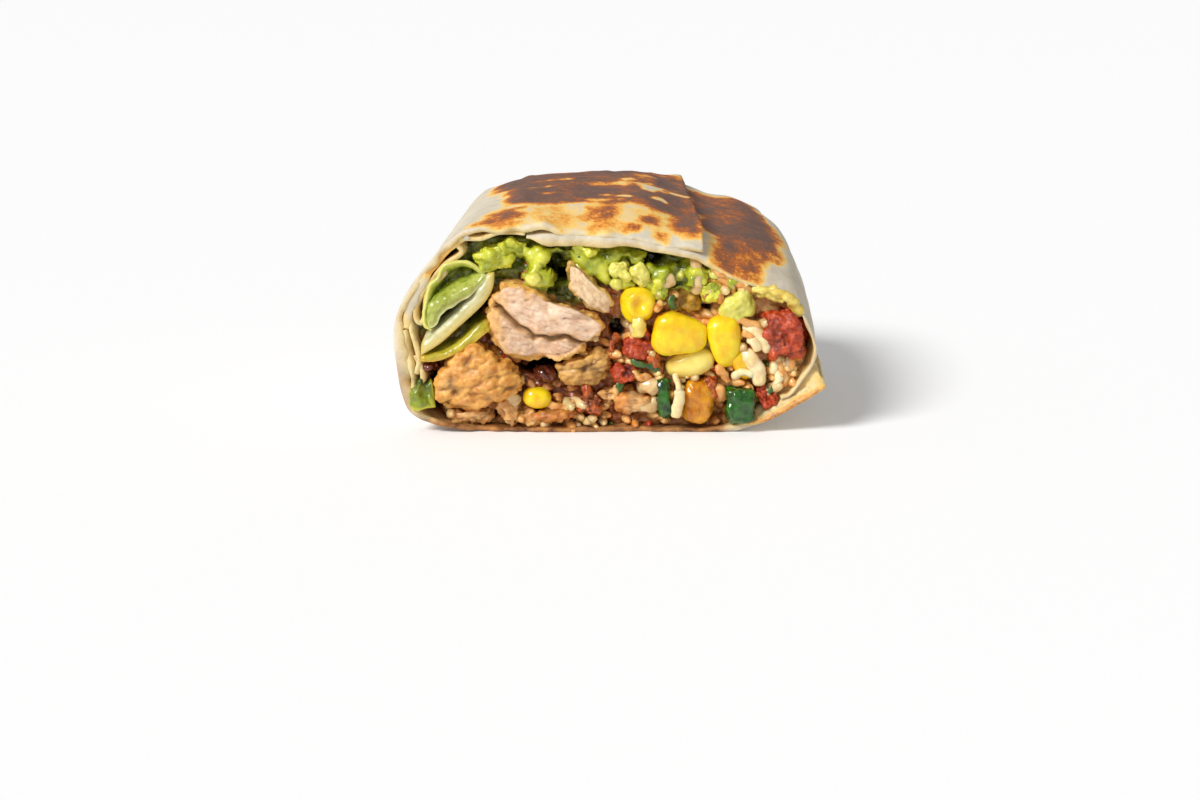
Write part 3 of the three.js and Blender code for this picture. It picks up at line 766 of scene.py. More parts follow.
# %% A thin sheet through lines
def leaf(name, lines, thickness, across=60, deep=40, ripple=0.15, seed=0):
    """A thin closed sheet through lines of [x, y, z] points, the first at the cut."""
    fine = np.array([smooth_line(line, across) for line in lines])
    stacked = np.array([smooth_line(fine[:, k], deep) for k in range(across)]).transpose(1, 0, 2)
    d_across, d_deep = np.gradient(stacked, axis=1), np.gradient(stacked, axis=0)
    normal = np.cross(d_across, d_deep)
    normal /= np.linalg.norm(normal, axis=2, keepdims=True) + 1e-9
    veins = ripple * noise(stacked * [1, 0.35, 1], 1.6, seed) + 0.5 * ripple * noise(stacked, 0.7, seed + 1)
    edge = np.minimum(np.arange(across), np.arange(across)[::-1])[None, :, None]
    half = thickness / 2 * step_between(-1, 3, np.minimum(edge, 3))
    top = stacked + normal * (half + veins[..., None] * 0.6)
    bottom = stacked - normal * (half - veins[..., None] * 0.6)
    rings = np.concatenate([top, bottom[:, ::-1]], axis=1)
    count = 2 * across
    faces = joined_rows(deep, count) + end_faces(deep, count)
    share = np.concatenate([np.linspace(0, 1, across), np.linspace(1, 0, across)])
    back = np.repeat(np.linspace(0, 1, deep), count)
    return make_piece(name, rings.reshape(-1, 3), faces, {"across": np.tile(share, deep), "back": back})


print("thin sheets ready")

# %% Pinched hem
hem = leaf("wrap_hem", [
    [(25.4, 0.4, 1), (30.4, -0.5, 2.1), (35.4, -0.9, 4.6), (39.8, -0.9, 7.1), (43.6, -0.3, 9.2)],
    [(28, 1.2, 3), (32, 1.3, 4.4), (36.4, 1.3, 6.9), (40.2, 0.9, 9.3), (43.2, 0.4, 10.2)],
    [(30.4, 3.4, 4.8), (33.4, 3.6, 7), (37.1, 3.4, 10.4), (40.4, 2.4, 12.8), (42.3, 1.2, 11.8)],
    [(31, 9, 5.4), (34, 9, 7.6), (37.4, 8.6, 10.8), (40.2, 7, 13), (42.2, 5, 12.6)],
], 0.9, ripple=0.22, seed=28)
points, outward = read(hem)
paint(hem, "skin", np.maximum(step_between(-0.1, -0.5, outward[:, 2]), 0.6))
browned_edge = 0.3 * step_between(0.0, -0.8, points[:, 1])
paint(hem, "toast", 0.2 + 0.14 * rough(points, 3, 3, 29) + browned_edge)
serve(hem, ["tortilla"], tortilla_finish)

# %% Inner turn and pleats at the left
inner_line = smooth_line(INNER_TURN, 150)
inner_sides = beside(inner_line, -0.55), beside(inner_line, 0.55)
wrap_inner = sheet("wrap_inner", *inner_sides, depth_rows(50, 52, 0.3), waves=0.8)
points, outward = read(wrap_inner)
write(wrap_inner, points + outward * (0.14 * noise(points, 2.6, 8))[:, None])
paint(wrap_inner, "skin", np.zeros(len(points)))
serve(wrap_inner, ["tortilla"], tortilla_finish)
for number, (pleat, half_thick, golden) in enumerate(PLEATS):
    pleat_line = smooth_line(pleat, 60)
    thin = half_thick * (1 + 0.4 * noise(pleat_line[:, [0, 1, 1]], 2.4, 40 + number))
    rows = depth_rows(34, 8 if golden else 44, 0.2)
    sides = beside(pleat_line, -thin), beside(pleat_line, thin)
    fold = sheet(f"wrap_pleat_{number + 1}", *sides, rows, waves=0.9)
    points, outward = read(fold)
    write(fold, points + outward * (0.3 * noise(points, 2.6, 12 + number))[:, None])
    paint(fold, "skin", np.full(len(points), golden))
    paint(fold, "toast", np.clip(0.22 + 0.3 * noise(points, 3, 44 + number), 0, 1) * golden)
    serve(fold, ["tortilla"], tortilla_finish)

# %% [markdown]
# ## The loose filling
# Behind the larger pieces lies a mash of rice, beans and sauce, with dark hollows where nothing fills it.
# It is one body: a front that is modelled finely, with lumps and hollows, and plain sides that follow the
# wrap back. Painted layers say how orange and how green the mash is in each place, and how deep in a fold
# it lies; that last one darkens it as painted shade.

# %% Filling body
BED_EDGE = [
    (39.4, 13.8), (39.6, 17), (38.2, 21.4), (35.2, 25.6), (28.8, 29), (22.8, 31.6), (17, 34), (9, 36.6),
    (0, 37.9), (-10, 38.2), (-20, 38.6), (-26, 38), (-30, 35.4), (-33.6, 31.8), (-37.4, 27), (-39.8, 22),
    (-39.4, 17), (-39, 11), (-38.6, 6.6), (-34.6, 3.4), (-27, 1.5), (-18, 0.9), (1, 0.9), (20, 0.9),
    (26, 1.6), (31, 4.4), (36.6, 9.6),
]
BED_MIDDLE = np.array([-1.0, 17.5])
BED_RECESS = 3.4
HOLLOWS = [
    # middle at the cut, half width and half height, how deep
    (-11, 32.4, 5, 3.4, 9), (-13, 13.8, 5, 2.6, 9), (-28.8, 25.4, 5, 3.4, 13), (-36.4, 9.8, 2.4, 2.6, 4),
    (-34.4, 4, 2, 2.4, 7), (8.6, 34.6, 3, 2, 5), (1.8, 20.4, 2, 1.8, 4), (18.6, 25, 2.2, 1.8, 4),
    (-22, 33.6, 2.2, 1.2, 5), (4.6, 11, 1.8, 1.4, 3.6), (22, 12.4, 1.8, 1.6, 3.4), (30.6, 11.4, 1.4, 2, 3),
    (11.6, 16.2, 1.4, 1.6, 3), (-24, 2.6, 3, 1, 3), (25, 30.4, 1.6, 1, 3),
]


def off_middle(points, x, z, wide, tall):
    """How far each point lies from the middle of an oval at the cut: 0 in the middle and 1 on the rim."""
    return np.hypot((points[:, 0] - x) / wide, (points[:, 2] - z) / tall)


def bed_front(points):
    """Depth of the front of the mash at each point, with its lumps and hollows."""
    bumps = 1.5 * lumps(points, 3.4, 21) + 0.8 * lumps(points, 1.6, 22) + 0.3 * noise(points, 0.8, 23)
    depth = BED_RECESS + 1.1 - bumps
    for *oval, deep in HOLLOWS:
        near = off_middle(points, *oval) + 0.35 * noise(points, 2, 24)
        depth = depth + deep * (1 - step_between(0.35, 1.15, near))
    return depth


around = smooth_line(BED_EDGE, 330, closed=True)
rings = []
for share in np.linspace(0.004, 1, 110) ** 0.8:
    flat = BED_MIDDLE + (around - BED_MIDDLE) * share
    rings.append(np.stack([flat[:, 0], np.zeros(len(flat)), flat[:, 1]], axis=1))
for ring in rings:
    ring[:, 1] = bed_front(ring)
edge_depth = rings[-1][:, 1].max()
for depth in np.linspace(edge_depth + 1, LENGTH - 5, 16):
    rings.append(settle(around, depth, LENGTH - 4))
rings.append(np.tile(rings[-1].mean(axis=0), (len(around), 1)))
filling = make_piece("rice_and_bean_mash", np.vstack(rings), joined_rows(len(rings), len(around)))
print(len(rings), "rings of", len(around), "points")

# %% Colours of the mash
points, _ = read(filling)
points[:, 2] += crown(points)
write(filling, points)
green_from = 28 - 5 * np.exp(-(((points[:, 0] + 10) / 8) ** 2))
greenness = step_between(0, 3, points[:, 2] - green_from + 1.6 * noise(points, 5, 31))
greenness = greenness * step_between(26, 18, points[:, 0])
green_left = 0.8 * step_between(-24, -29, points[:, 0]) * step_between(17, 21, points[:, 2])
paint(filling, "green", np.clip(greenness + green_left, 0, 1))
orange = step_between(-4, 12, points[:, 0] + 4 * noise(points, 6, 32))
orange = orange * (1 - 0.5 * step_between(8, 4, points[:, 2]))
low_left = step_between(-12, -18, points[:, 0]) * step_between(7, 4, points[:, 2])
paint(filling, "orange", np.maximum(orange, 0.7 * low_left))
# painted shade: the mash darkens the deeper it lies behind the cut, in its hollows
paint(filling, "crease_shade", step_between(3.4, 6.4, points[:, 1]) * 0.95)
print("lowest and highest green", float(greenness.min()), float(greenness.max()))

# %% Mash finish
mash_finish, tree, brown_mash = moist_finish(
    "Mash in red sauce", (92, 42, 22), (176, 96, 48), patch=2.2, grain=0.4, bump=0.5, gloss=(0.16, 0.5),
    soak=0.12, film=0.5,
)
orange_mash = two_colors(tree, (206, 108, 38), (246, 202, 126), 1.8, 0.04)
green_mash = two_colors(tree, (52, 62, 20), (150, 158, 46), 2.4, -0.02)
warm = add_mix(tree, read_layer(tree, "orange"), brown_mash, orange_mash)
# painted shade at full strength in the hollows of the mash
set_color(tree, add_mix(tree, read_layer(tree, "green"), warm, green_mash), 1.0)
serve(filling, ["rice_filling"], mash_finish)

# %% [markdown]
# ## Chicken
# The knife went through pieces of grilled chicken. The cleanly cut ones show a pale, fibrous face inside a
# golden, sauced rim, and the torn ones are lumpy all over. The solids already have the right outlines, so a
# copy of each is rebuilt as an even mesh by a voxel remesh, smoothed, and then pushed along its normals:
# thin ridges on the cut, lumps and flakes at the rim. The largest piece also has a crack across it.

# %% A fine copy of a solid
def fine_copy(name, node, voxel, smoothing):
    """An even, smooth copy of one solid of the model, as an object of its own."""
    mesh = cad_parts[node].data.copy()
    mesh.name = name
    tidy_faces(mesh)
    piece = into_scene(name, mesh)
    even = piece.modifiers.new("even", "REMESH")
    even.mode = "VOXEL"
    even.voxel_size = voxel * MM
    soft = piece.modifiers.new("soft", "SMOOTH")
    soft.factor = 0.5
    soft.iterations = smoothing
    seen = piece.evaluated_get(bpy.context.evaluated_depsgraph_get())
    piece.data = bpy.data.meshes.new_from_object(seen)
    piece.modifiers.clear()
    piece.data.name = name
    tidy_faces(piece.data)
    bpy.data.meshes.remove(mesh)
    return piece


def turned(points, angle):
    """The points with x along a direction in the plane of the cut."""
    c, s = math.cos(math.radians(angle)), math.sin(math.radians(angle))
    x, y, z = points.T
    return np.stack([c * x + s * z, y, -s * x + c * z], axis=1)


print("copies of solids ready")

# %% Chicken finish
def chicken_finish(name, cut_dark, cut_light, rim_dark, rim_light, angle):
    """A fibrous cut face inside a sauced rim; the painted layer says which of the two lies where."""
    finish, tree, cut_color = moist_finish(
        name, cut_dark, cut_light, patch=2.6, balance=0.05, grain=0.3, bump=0.4, gloss=(0.38, 0.62),
        soak=0.3, film=0.12,
    )
    strands = place_group(tree, fibres, Width_mm=0.6, Stretch=3.2, Turn=math.radians(angle))
    shade = add_ramp(tree, strands.outputs["Strands"], (0.32, rgb(190, 142, 106)), (0.56, rgb(255, 255, 255)))
    streaked = add_mix(tree, 0.5, cut_color, shade, "MULTIPLY")
    rim = two_colors(tree, rim_dark, rim_light, 1.6, 0.02)
    set_color(tree, add_mix(tree, read_layer(tree, "rim"), streaked, rim))
    return finish


CRACK = [(-22.6, 26.6), (-20.8, 25.2), (-17.6, 21.6), (-14.2, 19.9), (-8.4, 19.5), (-3.2, 17.9)]
CHICKEN = [
    # name, voxel, fibre angle, how cleanly it was cut from 0 to 1, how far its middle bulges,
    # and its colours: the cut face dark and light, the rim dark and light
    ("chicken_large", 0.32, -14, 1.0, 0.8, (220, 174, 136), (248, 220, 190), (208, 140, 56), (244, 196, 110)),
    ("chicken_left", 0.3, 18, 0.0, 3.0, (220, 152, 66), (248, 202, 126), (200, 122, 38), (244, 186, 94)),
    ("chicken_top", 0.26, -58, 0.9, 1.0, (226, 186, 138), (248, 220, 178), (196, 144, 54), (232, 190, 104)),
    ("chicken_middle", 0.26, 10, 0.0, 1.6, (190, 140, 74), (238, 198, 126), (168, 114, 48), (236, 184, 98)),
    ("chicken_low", 0.24, 20, 0.0, 1.2, (198, 120, 48), (236, 174, 96), (172, 90, 28), (228, 156, 70)),
    ("chicken_right", 0.24, -10, 0.1, 1.0, (206, 132, 64), (238, 190, 122), (190, 96, 32), (232, 164, 80)),
]


def cracked(points, along, facing, push, edge, crease_shade):
    """The large piece broke open along a line, and the part below the line sank a little."""
    upset_x, upset_z = 0.4 * noise(points, 2, 48), 0.5 * noise(points, 1.6, 49)
    crack = distance_to_line(CRACK, points[:, 0] + upset_x, points[:, 2] + upset_z)
    push = push - facing * 2.6 * np.exp(-((crack / 0.55) ** 2))
    below = step_between(0.2, 1.2, np.interp(points[:, 0], *np.array(CRACK).T) - points[:, 2])
    push = push - facing * 1.5 * below * step_between(-19, -13, points[:, 0] + noise(points, 2, 39))
    push = push + facing * 0.7 * (lumps(along * [0.4, 1, 1], 4.4, 50) - 0.5)
    edge = np.maximum(edge, 0.6 * np.exp(-((crack / 1.0) ** 2)))
    edge = np.maximum(edge, 0.8 * step_between(-18, -23, points[:, 0] + 1.5 * noise(points, 2, 51)))
    # painted shade along the crack
    return push, edge, np.maximum(crease_shade, np.exp(-((crack / 0.5) ** 2)) * facing)


print(len(CHICKEN), "pieces, and a crack through", len(CRACK), "points")

# %% Pieces of chicken
for name, voxel, angle, clean, bulge, *colors in CHICKEN:
    meat = fine_copy(f"{name}_meat", name, voxel, 6)
    points, outward = read(meat)
    facing = step_between(0.5, 0.93, -outward[:, 1])
    low, high = points.min(axis=0), points.max(axis=0)
    outwards = np.hypot(*((points - (high + low) / 2) / ((high - low) / 2))[:, [0, 2]].T)
    dome = bulge * (1 - outwards**2) * facing
    along = turned(points, angle)
    ridges = 0.26 * noise(along, [3.6, 2, 0.9], 41) + 0.14 * noise(along, [1.8, 1.2, 0.45], 42)
    ridges = ridges - 0.5 * step_between(0.45, 0.8, noise(along, [2.2, 1.2, 0.8], 40))
    shreds = 1.3 * (lumps(along * [0.45, 0.8, 1], 2.3, 43) - 0.6)
    shreds = shreds + 0.6 * (lumps(along * [0.5, 1, 1], 1.0, 44) - 0.6)
    soft = 0.5 * noise(points, 4.2, 45) + 0.14 * noise(points, 0.5, 46)
    torn = np.clip(1 - clean * facing, 0, 1)
    push = soft + ridges * facing * (0.5 + clean * 0.5) + shreds * torn
    edge = 1 - facing * step_between(-0.2, 0.5, clean + 0.9 * noise(points, 2.6, 47) - 0.2)
    # painted shade: darker in the gaps between torn shreds
    crease_shade = step_between(0.1, -1.0, shreds) * torn
    if name == "chicken_large":
        push, edge, crease_shade = cracked(points, along, facing, push, edge, crease_shade)
    points = points + outward * push[:, None]
    points[:, 1] -= dome
    write(meat, points)
    paint(meat, "rim", np.clip(edge, 0, 1))
    paint(meat, "crease_shade", np.clip(crease_shade, 0, 1))
    look = chicken_finish(name.replace("_", " ").capitalize(), *colors, angle)
    serve(meat, [name], look)

# %% [markdown]
# ## Kernels and dice
# Corn kernels are plump teeth: rounded at the crown, narrower at the tip, with a dimple. Dice of tomato,
# pepper and avocado are rounded blocks with uneven faces. Both start as a ball whose points are moved out
# to a squarer shape, sized and turned as in the solid model, and then roughened in the way that suits each
# food. Scraps of cooked vegetable and shredded meat fill the gaps between them, and are rounded blocks too.

# %% Rounded blocks
def rounded_block(
    name, at, size, turn=0, square=2.5, taper=0.0, rough_size=2.4, unevenness=0.3, seed=0, fine=48, pulp=0.0,
):
    """A ball drawn out to `size`, squarer where `square` is above 2, narrower at one end by `taper`."""
    rows, count = fine, int(fine * 1.6)
    lift = np.linspace(0.0, math.pi, rows)[:, None]
    spin = np.linspace(0, 2 * math.pi, count, endpoint=False)[None, :]
    ball = np.stack(
        [np.sin(lift) * np.cos(spin), np.sin(lift) * np.sin(spin), np.cos(lift) * np.ones_like(spin)], axis=-1
    ).reshape(-1, 3)
    block = ball / (np.abs(ball) ** square).sum(axis=1, keepdims=True) ** (1 / square)
    block[:, :2] *= (1 - taper * step_between(0.6, -1.0, block[:, 2]))[:, None]
    block = block * np.array(size) / 2
    piece = make_piece(name, turned(block, -turn) + at, joined_rows(rows, count))
    points, outward = read(piece)
    push = unevenness * 1.5 * rough(points, rough_size, 3, seed) + pulp * (lumps(points, 1.1, seed + 2) - 0.6)
    write(piece, points + outward * push[:, None])
    # painted shade: darker in the pits between pulpy lumps
    paint(piece, "crease_shade", step_between(-0.1, -0.5, push) * min(1, 2 * pulp))
    return piece


print("rounded blocks ready")

# %% Corn
corn_finish, *_ = moist_finish(
    "Sweetcorn", (238, 160, 0), (255, 220, 26), patch=3.4, balance=0.1, grain=0.9, bump=0.14,
    gloss=(0.18, 0.4), depth=0.003, soak=0.35, film=0.2, pits=0.25,
)
pale_corn_finish, *_ = moist_finish(
    "Pale sweetcorn", (226, 176, 40), (250, 226, 120), patch=5, balance=0.14, grain=0.9, bump=0.1,
    gloss=(0.2, 0.4), depth=0.003, soak=0.35, film=0.35, pits=0.15,
)
KERNELS = [
    # name, place, size across, deep and along, turn, squareness, narrowing, finish
    ("corn_1", (14.4, 1.2, 19.7), (8.8, 7, 11), 84, 3.3, 0.26, corn_finish),
    ("corn_2", (23.4, 1.8, 18.3), (7.2, 7, 10.6), 8, 2.9, 0.3, corn_finish),
    ("corn_3", (16.6, 2.6, 13.6), (5.8, 6, 10), -74, 2.4, 0.2, pale_corn_finish),
    ("corn_4", (6, 1.8, 25.6), (7, 6, 7.2), 0, 2.5, 0.1, corn_finish),
    ("corn_5", (27, 2.2, 13.6), (4.4, 5, 6.4), 20, 2.8, 0.3, corn_finish),
    ("corn_6", (-13.9, 1.2, 6.9), (6, 5, 4), -8, 2.4, 0.0, corn_finish),
]
EYE_OF_CORN_4 = (6.6, 26)
for number, (name, at, size, turn, square, narrowing, finish) in enumerate(KERNELS):
    kernel = rounded_block(f"{name}_kernel", at, size, turn, square, narrowing, 3.6, 0.13, 60 + number)
    points, outward = read(kernel)
    if name == "corn_4":
        ring = off_middle(points, *EYE_OF_CORN_4, 1, 1)
        push = 0.5 * np.exp(-(((ring - 2.1) / 0.7) ** 2)) - 0.9 * np.exp(-((ring / 1.1) ** 2))
        points = points + outward * (push * (points[:, 1] < at[1]))[:, None]
    else:
        x, z = points[:, 0] - at[0], points[:, 2] - at[2]
        dimple = np.exp(-((x - 0.6) ** 2 + (z - 0.8) ** 2) / 1.6) * (points[:, 1] < at[1])
        points = points - outward * (0.12 * dimple)[:, None]
    write(kernel, points)
    serve(kernel, [name], finish)

# %% Tomato, pepper and avocado
tomato_finish, *_ = moist_finish(
    "Tomato", (142, 26, 6), (218, 88, 34), patch=1.3, grain=0.4, bump=0.7, gloss=(0.16, 0.5),
    depth=0.002, film=0.15, pits=0.9,
)
cooked_tomato_finish, *_ = moist_finish(
    "Cooked tomato", (150, 48, 10), (222, 124, 54), patch=1.6, grain=0.45, bump=0.5, gloss=(0.16, 0.45),
    soak=0.3, film=0.2,
)
green_pepper_finish, *_ = moist_finish(
    "Green pepper", (10, 46, 4), (48, 120, 20), patch=2.2, balance=-0.04, grain=0.7, bump=0.3,
    gloss=(0.1, 0.34), soak=0.12, film=0.5, pits=0.3,
)
yellow_pepper_finish, *_ = moist_finish(
    "Yellow pepper", (176, 98, 4), (234, 164, 24), patch=3, balance=0.02, grain=0.6, bump=0.3,
    gloss=(0.18, 0.4), depth=0.003, soak=0.35, film=0.25, pits=0.4,
)
avocado_finish, *_ = moist_finish(
    "Avocado", (196, 192, 52), (238, 228, 120), patch=2.6, balance=0.06, grain=0.6, bump=0.2,
    gloss=(0.22, 0.45), depth=0.002, soak=0.3, film=0.35,
)
bean_finish, *_ = moist_finish(
    "Bean", (62, 22, 14), (128, 58, 38), patch=3, grain=0.6, bump=0.15, gloss=(0.1, 0.3), soak=0.1, film=0.7,
)
DICE = [
    # name, slot, place, size, turn, squareness, unevenness, pulp, finish
    ("avocado_1", "avocado", (26, 2, 25.3), (7, 6, 5.4), 38, 2.8, 0.45, 0.1, avocado_finish),
    ("avocado_2", "avocado", (2.6, 2.4, 32.3), (4.6, 5, 4.2), 10, 2.8, 0.55, 0.3, avocado_finish),
    ("avocado_3", "avocado", (6.8, 2, 31.6), (3.6, 5, 4.8), 26, 2.8, 0.5, 0.15, avocado_finish),
    ("tomato_1", "tomato", (35.2, 2.4, 20), (8, 9, 9.8), 14, 3.6, 0.75, 0.4, tomato_finish),
    ("tomato_2", "tomato", (6.2, 2.6, 17.6), (6, 6, 5.2), 10, 2.8, 0.7, 0.5, tomato_finish),
    ("tomato_3", "tomato", (3.4, 2, 12), (4.8, 6, 4.6), 30, 2.8, 0.7, 0.5, tomato_finish),
    ("tomato_4", "tomato", (-3.2, 1.6, 5.9), (5, 6, 5.8), -12, 2.4, 0.9, 0.5, cooked_tomato_finish),
    ("tomato_5", "tomato", (31.9, 2.4, 7), (4, 5, 4.2), 40, 2.6, 0.8, 0.8, tomato_finish),
    ("pepper_green_1", "green_pepper", (26.7, 0.4, 5.5), (6, 5, 7.2), 4, 4.4, 0.35, 0.0, green_pepper_finish),
    ("pepper_green_2", "green_pepper", (11.4, 1.2, 6.6), (3.1, 5, 8), 8, 3.4, 0.35, 0.0, green_pepper_finish),
    (
        "pepper_yellow", "yellow_pepper", (18.2, 1.8, 6), (6.2, 6, 8.6), -10, 3.2, 0.3, 0.0,
        yellow_pepper_finish,
    ),
    ("bean_1", "bean", (-35.6, 4, 13), (4.6, 8, 2.8), 20, 2.0, 0.2, 0.0, bean_finish),
    ("bean_2", "bean", (-12.6, 4, 11.2), (5, 8, 3.6), -30, 2.0, 0.3, 0.2, bean_finish),
]
for number, (name, slot, at, size, turn, square, unevenness, pulp, finish) in enumerate(DICE):
    piece = rounded_block(
        f"{name}_piece", at, size, turn, square, 0.0, 2.2, unevenness, 80 + 3 * number, 64, pulp,
    )
    serve(piece, [name], finish)
print(len(DICE), "dice")

# %% Scraps between them
amber_finish, *_ = moist_finish(
    "Amber pepper", (150, 104, 20), (208, 164, 58), patch=2.6, grain=0.6, bump=0.2, gloss=(0.25, 0.5),
    soak=0.3, film=0.1,
)
tan_finish, *_ = moist_finish(
    "Shredded meat in sauce", (190, 120, 52), (246, 200, 128), patch=1.6, grain=0.4, bump=0.5,
    gloss=(0.25, 0.5), soak=0.3, film=0.2,
)
SCRAPS = [
    # name, slot, place, size, turn, finish
    ("tan_scrap_1", "chicken", (-27, 2.4, 2.9), (9.4, 5, 3.4), 6, tan_finish),
    ("tan_scrap_2", "chicken", (-19.6, 2, 4), (6.6, 5, 3.4), 118, tan_finish),
    ("tan_scrap_3", "chicken", (-15.6, 2.2, 2.6), (5, 4, 2.6), -14, tan_finish),
    ("tan_scrap_4", "chicken", (0.8, 2, 7.4), (4.6, 4, 3), 20, tan_finish),
    ("amber_scrap_1", "yellow_pepper", (15.8, 4, 25.8), (5.4, 4, 5.4), 20, amber_finish),
    ("orange_scrap_1", "tomato", (20.8, 1.4, 8.6), (4.4, 4, 5), 30, cooked_tomato_finish),
    ("orange_scrap_2", "tomato", (9.4, 1.6, 13.6), (2.6, 3, 4.6), 34, cooked_tomato_finish),
    ("orange_scrap_3", "tomato", (1.2, 1.6, 17.2), (1.8, 3, 4.6), -6, cooked_tomato_finish),
    ("orange_scrap_4", "tomato", (22.4, 2.4, 12), (2.6, 3, 2.6), 0, tomato_finish),
    ("brown_scrap_1", "yellow_pepper", (22.6, 3, 29.4), (4.6, 4, 4.4), 30, amber_finish),
    ("brown_scrap_2", "yellow_pepper", (25.2, 3, 29.6), (3.2, 4, 2.4), -30, amber_finish),
]
for number, (name, slot, at, size, turn, finish) in enumerate(SCRAPS):
    scrap = rounded_block(name, at, size, turn, 2.4, 0.2, 1.9, 0.6, 200 + 3 * number, 48, 0.3)
    serve(scrap, [], finish)
print(len(SCRAPS), "scraps")

# %% [markdown]
# ## Guacamole
# Mashed avocado holds soft lumps from a few millimetres down to crumbs, and it shines. The copy of its
# solid gets a few hollows and is pushed out by lumps and noise of several sizes, more at the cut than
# behind it. A painted layer makes it brighter at the left and, as painted light, on its raised lumps; another
# darkens its gaps and hollows as painted shade. Smears of it, as rounded blocks, hang over the food below.

# %% Guacamole
GUACAMOLE_HOLLOWS = [(-9.4, 33.2, 3.4, 2.6, 7), (9.4, 34.6, 3, 1.8, 6), (-19.4, 38.2, 1.6, 1, 4)]
guacamole = fine_copy("guacamole_layer", "guacamole", 0.42, 4)
points, _ = read(guacamole)
points[:, 2] += crown(points)
hollow = np.zeros(len(points))
for *oval, deep in GUACAMOLE_HOLLOWS:
    near = off_middle(points, *oval) + 0.4 * noise(points, 2.2, 50)
    sunk = deep * (1 - step_between(0.4, 1.15, near))
    hollow = np.maximum(hollow, sunk * step_between(9, 4, points[:, 1]))
points[:, 1] += hollow
write(guacamole, points)
points, outward = read(guacamole)
near_cut = 0.3 + 0.7 * step_between(16, 6, points[:, 1])
chunks, crumbs = lumps(points, 4.6, 51), lumps(points, 2.0, 52)
push = 1.3 * (chunks - 0.6) + 0.5 * (crumbs - 0.6)
push = push + 1.3 * rough(points, 3.4, 4, 53) + 0.5 * noise(points, 7, 54)
write(guacamole, points + outward * (push * near_cut)[:, None])
to_the_left = step_between(-4, -18, points[:, 0]) - 0.8 * step_between(4, 18, points[:, 0])
# painted light: the raised lumps are painted brighter, on top of a brighter left side
paint(guacamole, "bright", np.clip(0.3 + 0.4 * to_the_left + 0.9 * noise(points, 4, 55) + 0.5 * push, 0, 1))
# painted shade in the gaps between lumps and in the hollows
paint(guacamole, "crease_shade", np.maximum(step_between(-0.2, -1.4, push) * 0.9, step_between(1.5, 5, hollow)))
print("guacamole has", len(points), "points")

# %% Guacamole finish
guacamole_finish, tree, green = moist_finish(
    "Guacamole", (104, 126, 6), (184, 190, 30), patch=2.2, grain=0.4, bump=0.45, gloss=(0.14, 0.4),
    depth=0.001, soak=0.2, film=0.5, pits=0.7,
)
bright_green = two_colors(tree, (194, 198, 34), (234, 230, 84), 2.4, 0.02)
# painted shade in dark green where the painted layer marks gaps and hollows
set_color(tree, add_mix(tree, read_layer(tree, "bright"), green, bright_green), 0.9, (58, 74, 26))
serve(guacamole, ["guacamole"], guacamole_finish)

# %% Smears of guacamole
SMEARS = [
    # place, size, turn, how bright
    ((-22.4, 1.8, 34.7), (8.2, 5, 5.2), 12, 0.9),
    ((-13.8, 2.2, 30.4), (6.4, 5, 4.4), -18, 0.05),
    ((-17.6, 3, 37.4), (5, 5, 2.6), 0, 0.7),
    ((10.6, 1.6, 28.8), (3, 3.4, 5.6), 14, 0.7),
    ((20.6, 1.8, 28.4), (5.4, 4, 3.4), -24, 0.7),
    ((24.6, 2.4, 30), (4.4, 4, 2.4), -20, 0.7),
    ((17.6, 2, 31.2), (3.4, 4, 3.4), 30, 0.7),
    ((-4.4, 2.4, 36.4), (5, 4, 3), -6, 0.7),
]
for number, (at, size, turn, brightness) in enumerate(SMEARS):
    name = f"guacamole_smear_{number + 1}"
    smear = rounded_block(name, at, size, turn, 2.2, 0.2, 1.9, 0.75, 300 + 2 * number)
    points, _ = read(smear)
    paint(smear, "bright", np.clip(brightness + 0.9 * noise(points, 3, 57 + number), 0, 1))
    serve(smear, [], guacamole_finish)

# %% [markdown]
# ## Lettuce
# At the left a few leaves are folded in. The largest curls round a dark hollow, with a pale fold of leaf in
# front of it. Another runs down beside the chicken as a whitish rib, with a golden leaf edge under it, and
# a green scrap lies in the lower corner. Each leaf is drawn as lines at several depths, with a smooth
# surface between them, and given its thickness last. Their colours darken from the cut back into the food
# as painted shade, and the front edges carry a painted highlight.

# %% Leaf finish
def leaf_finish(name, front, shaded_back_color, edge, veins_angle):
    """Colours darker from the cut back, as painted shade, and pale along the edges, with fine veins."""
    finish, tree, front_color = moist_finish(
        name, *front, patch=4.0, balance=0.02, bump=0.2, gloss=(0.2, 0.42), depth=0.002, soak=0.35, film=0.35,
    )
    # painted shade: further in from the cut the leaf takes its darker back colours
    shade_further_back = add_ramp(tree, read_layer(tree, "back"), (0.05, 0.0), (0.6, 1.0))
    body = add_mix(tree, shade_further_back, front_color, two_colors(tree, *shaded_back_color, 4.0))
    veins = place_group(tree, fibres, Width_mm=0.7, Stretch=9.0, Turn=math.radians(veins_angle))
    shade = add_ramp(tree, veins.outputs["Strands"], (0.36, rgb(186, 196, 150)), (0.56, rgb(255, 255, 255)))
    veined = add_mix(tree, 0.5, body, shade, "MULTIPLY")
    at_ends = add_ramp(tree, read_layer(tree, "across"), (0.0, 1.0), (0.08, 0.0), (0.92, 0.0), (1.0, 1.0))
    # the front edge gets the pale edge colour: the leaf's pale cut edge, brightened as a painted highlight
    front_edge_and_highlight = add_ramp(tree, read_layer(tree, "back"), (0.0, 0.9), (0.09, 0.0))
    at_edge = add_math(tree, "MAXIMUM", at_ends, front_edge_and_highlight)
    set_color(tree, add_mix(tree, at_edge, veined, rgb(*edge)))
    return finish


print("leaf finish ready")
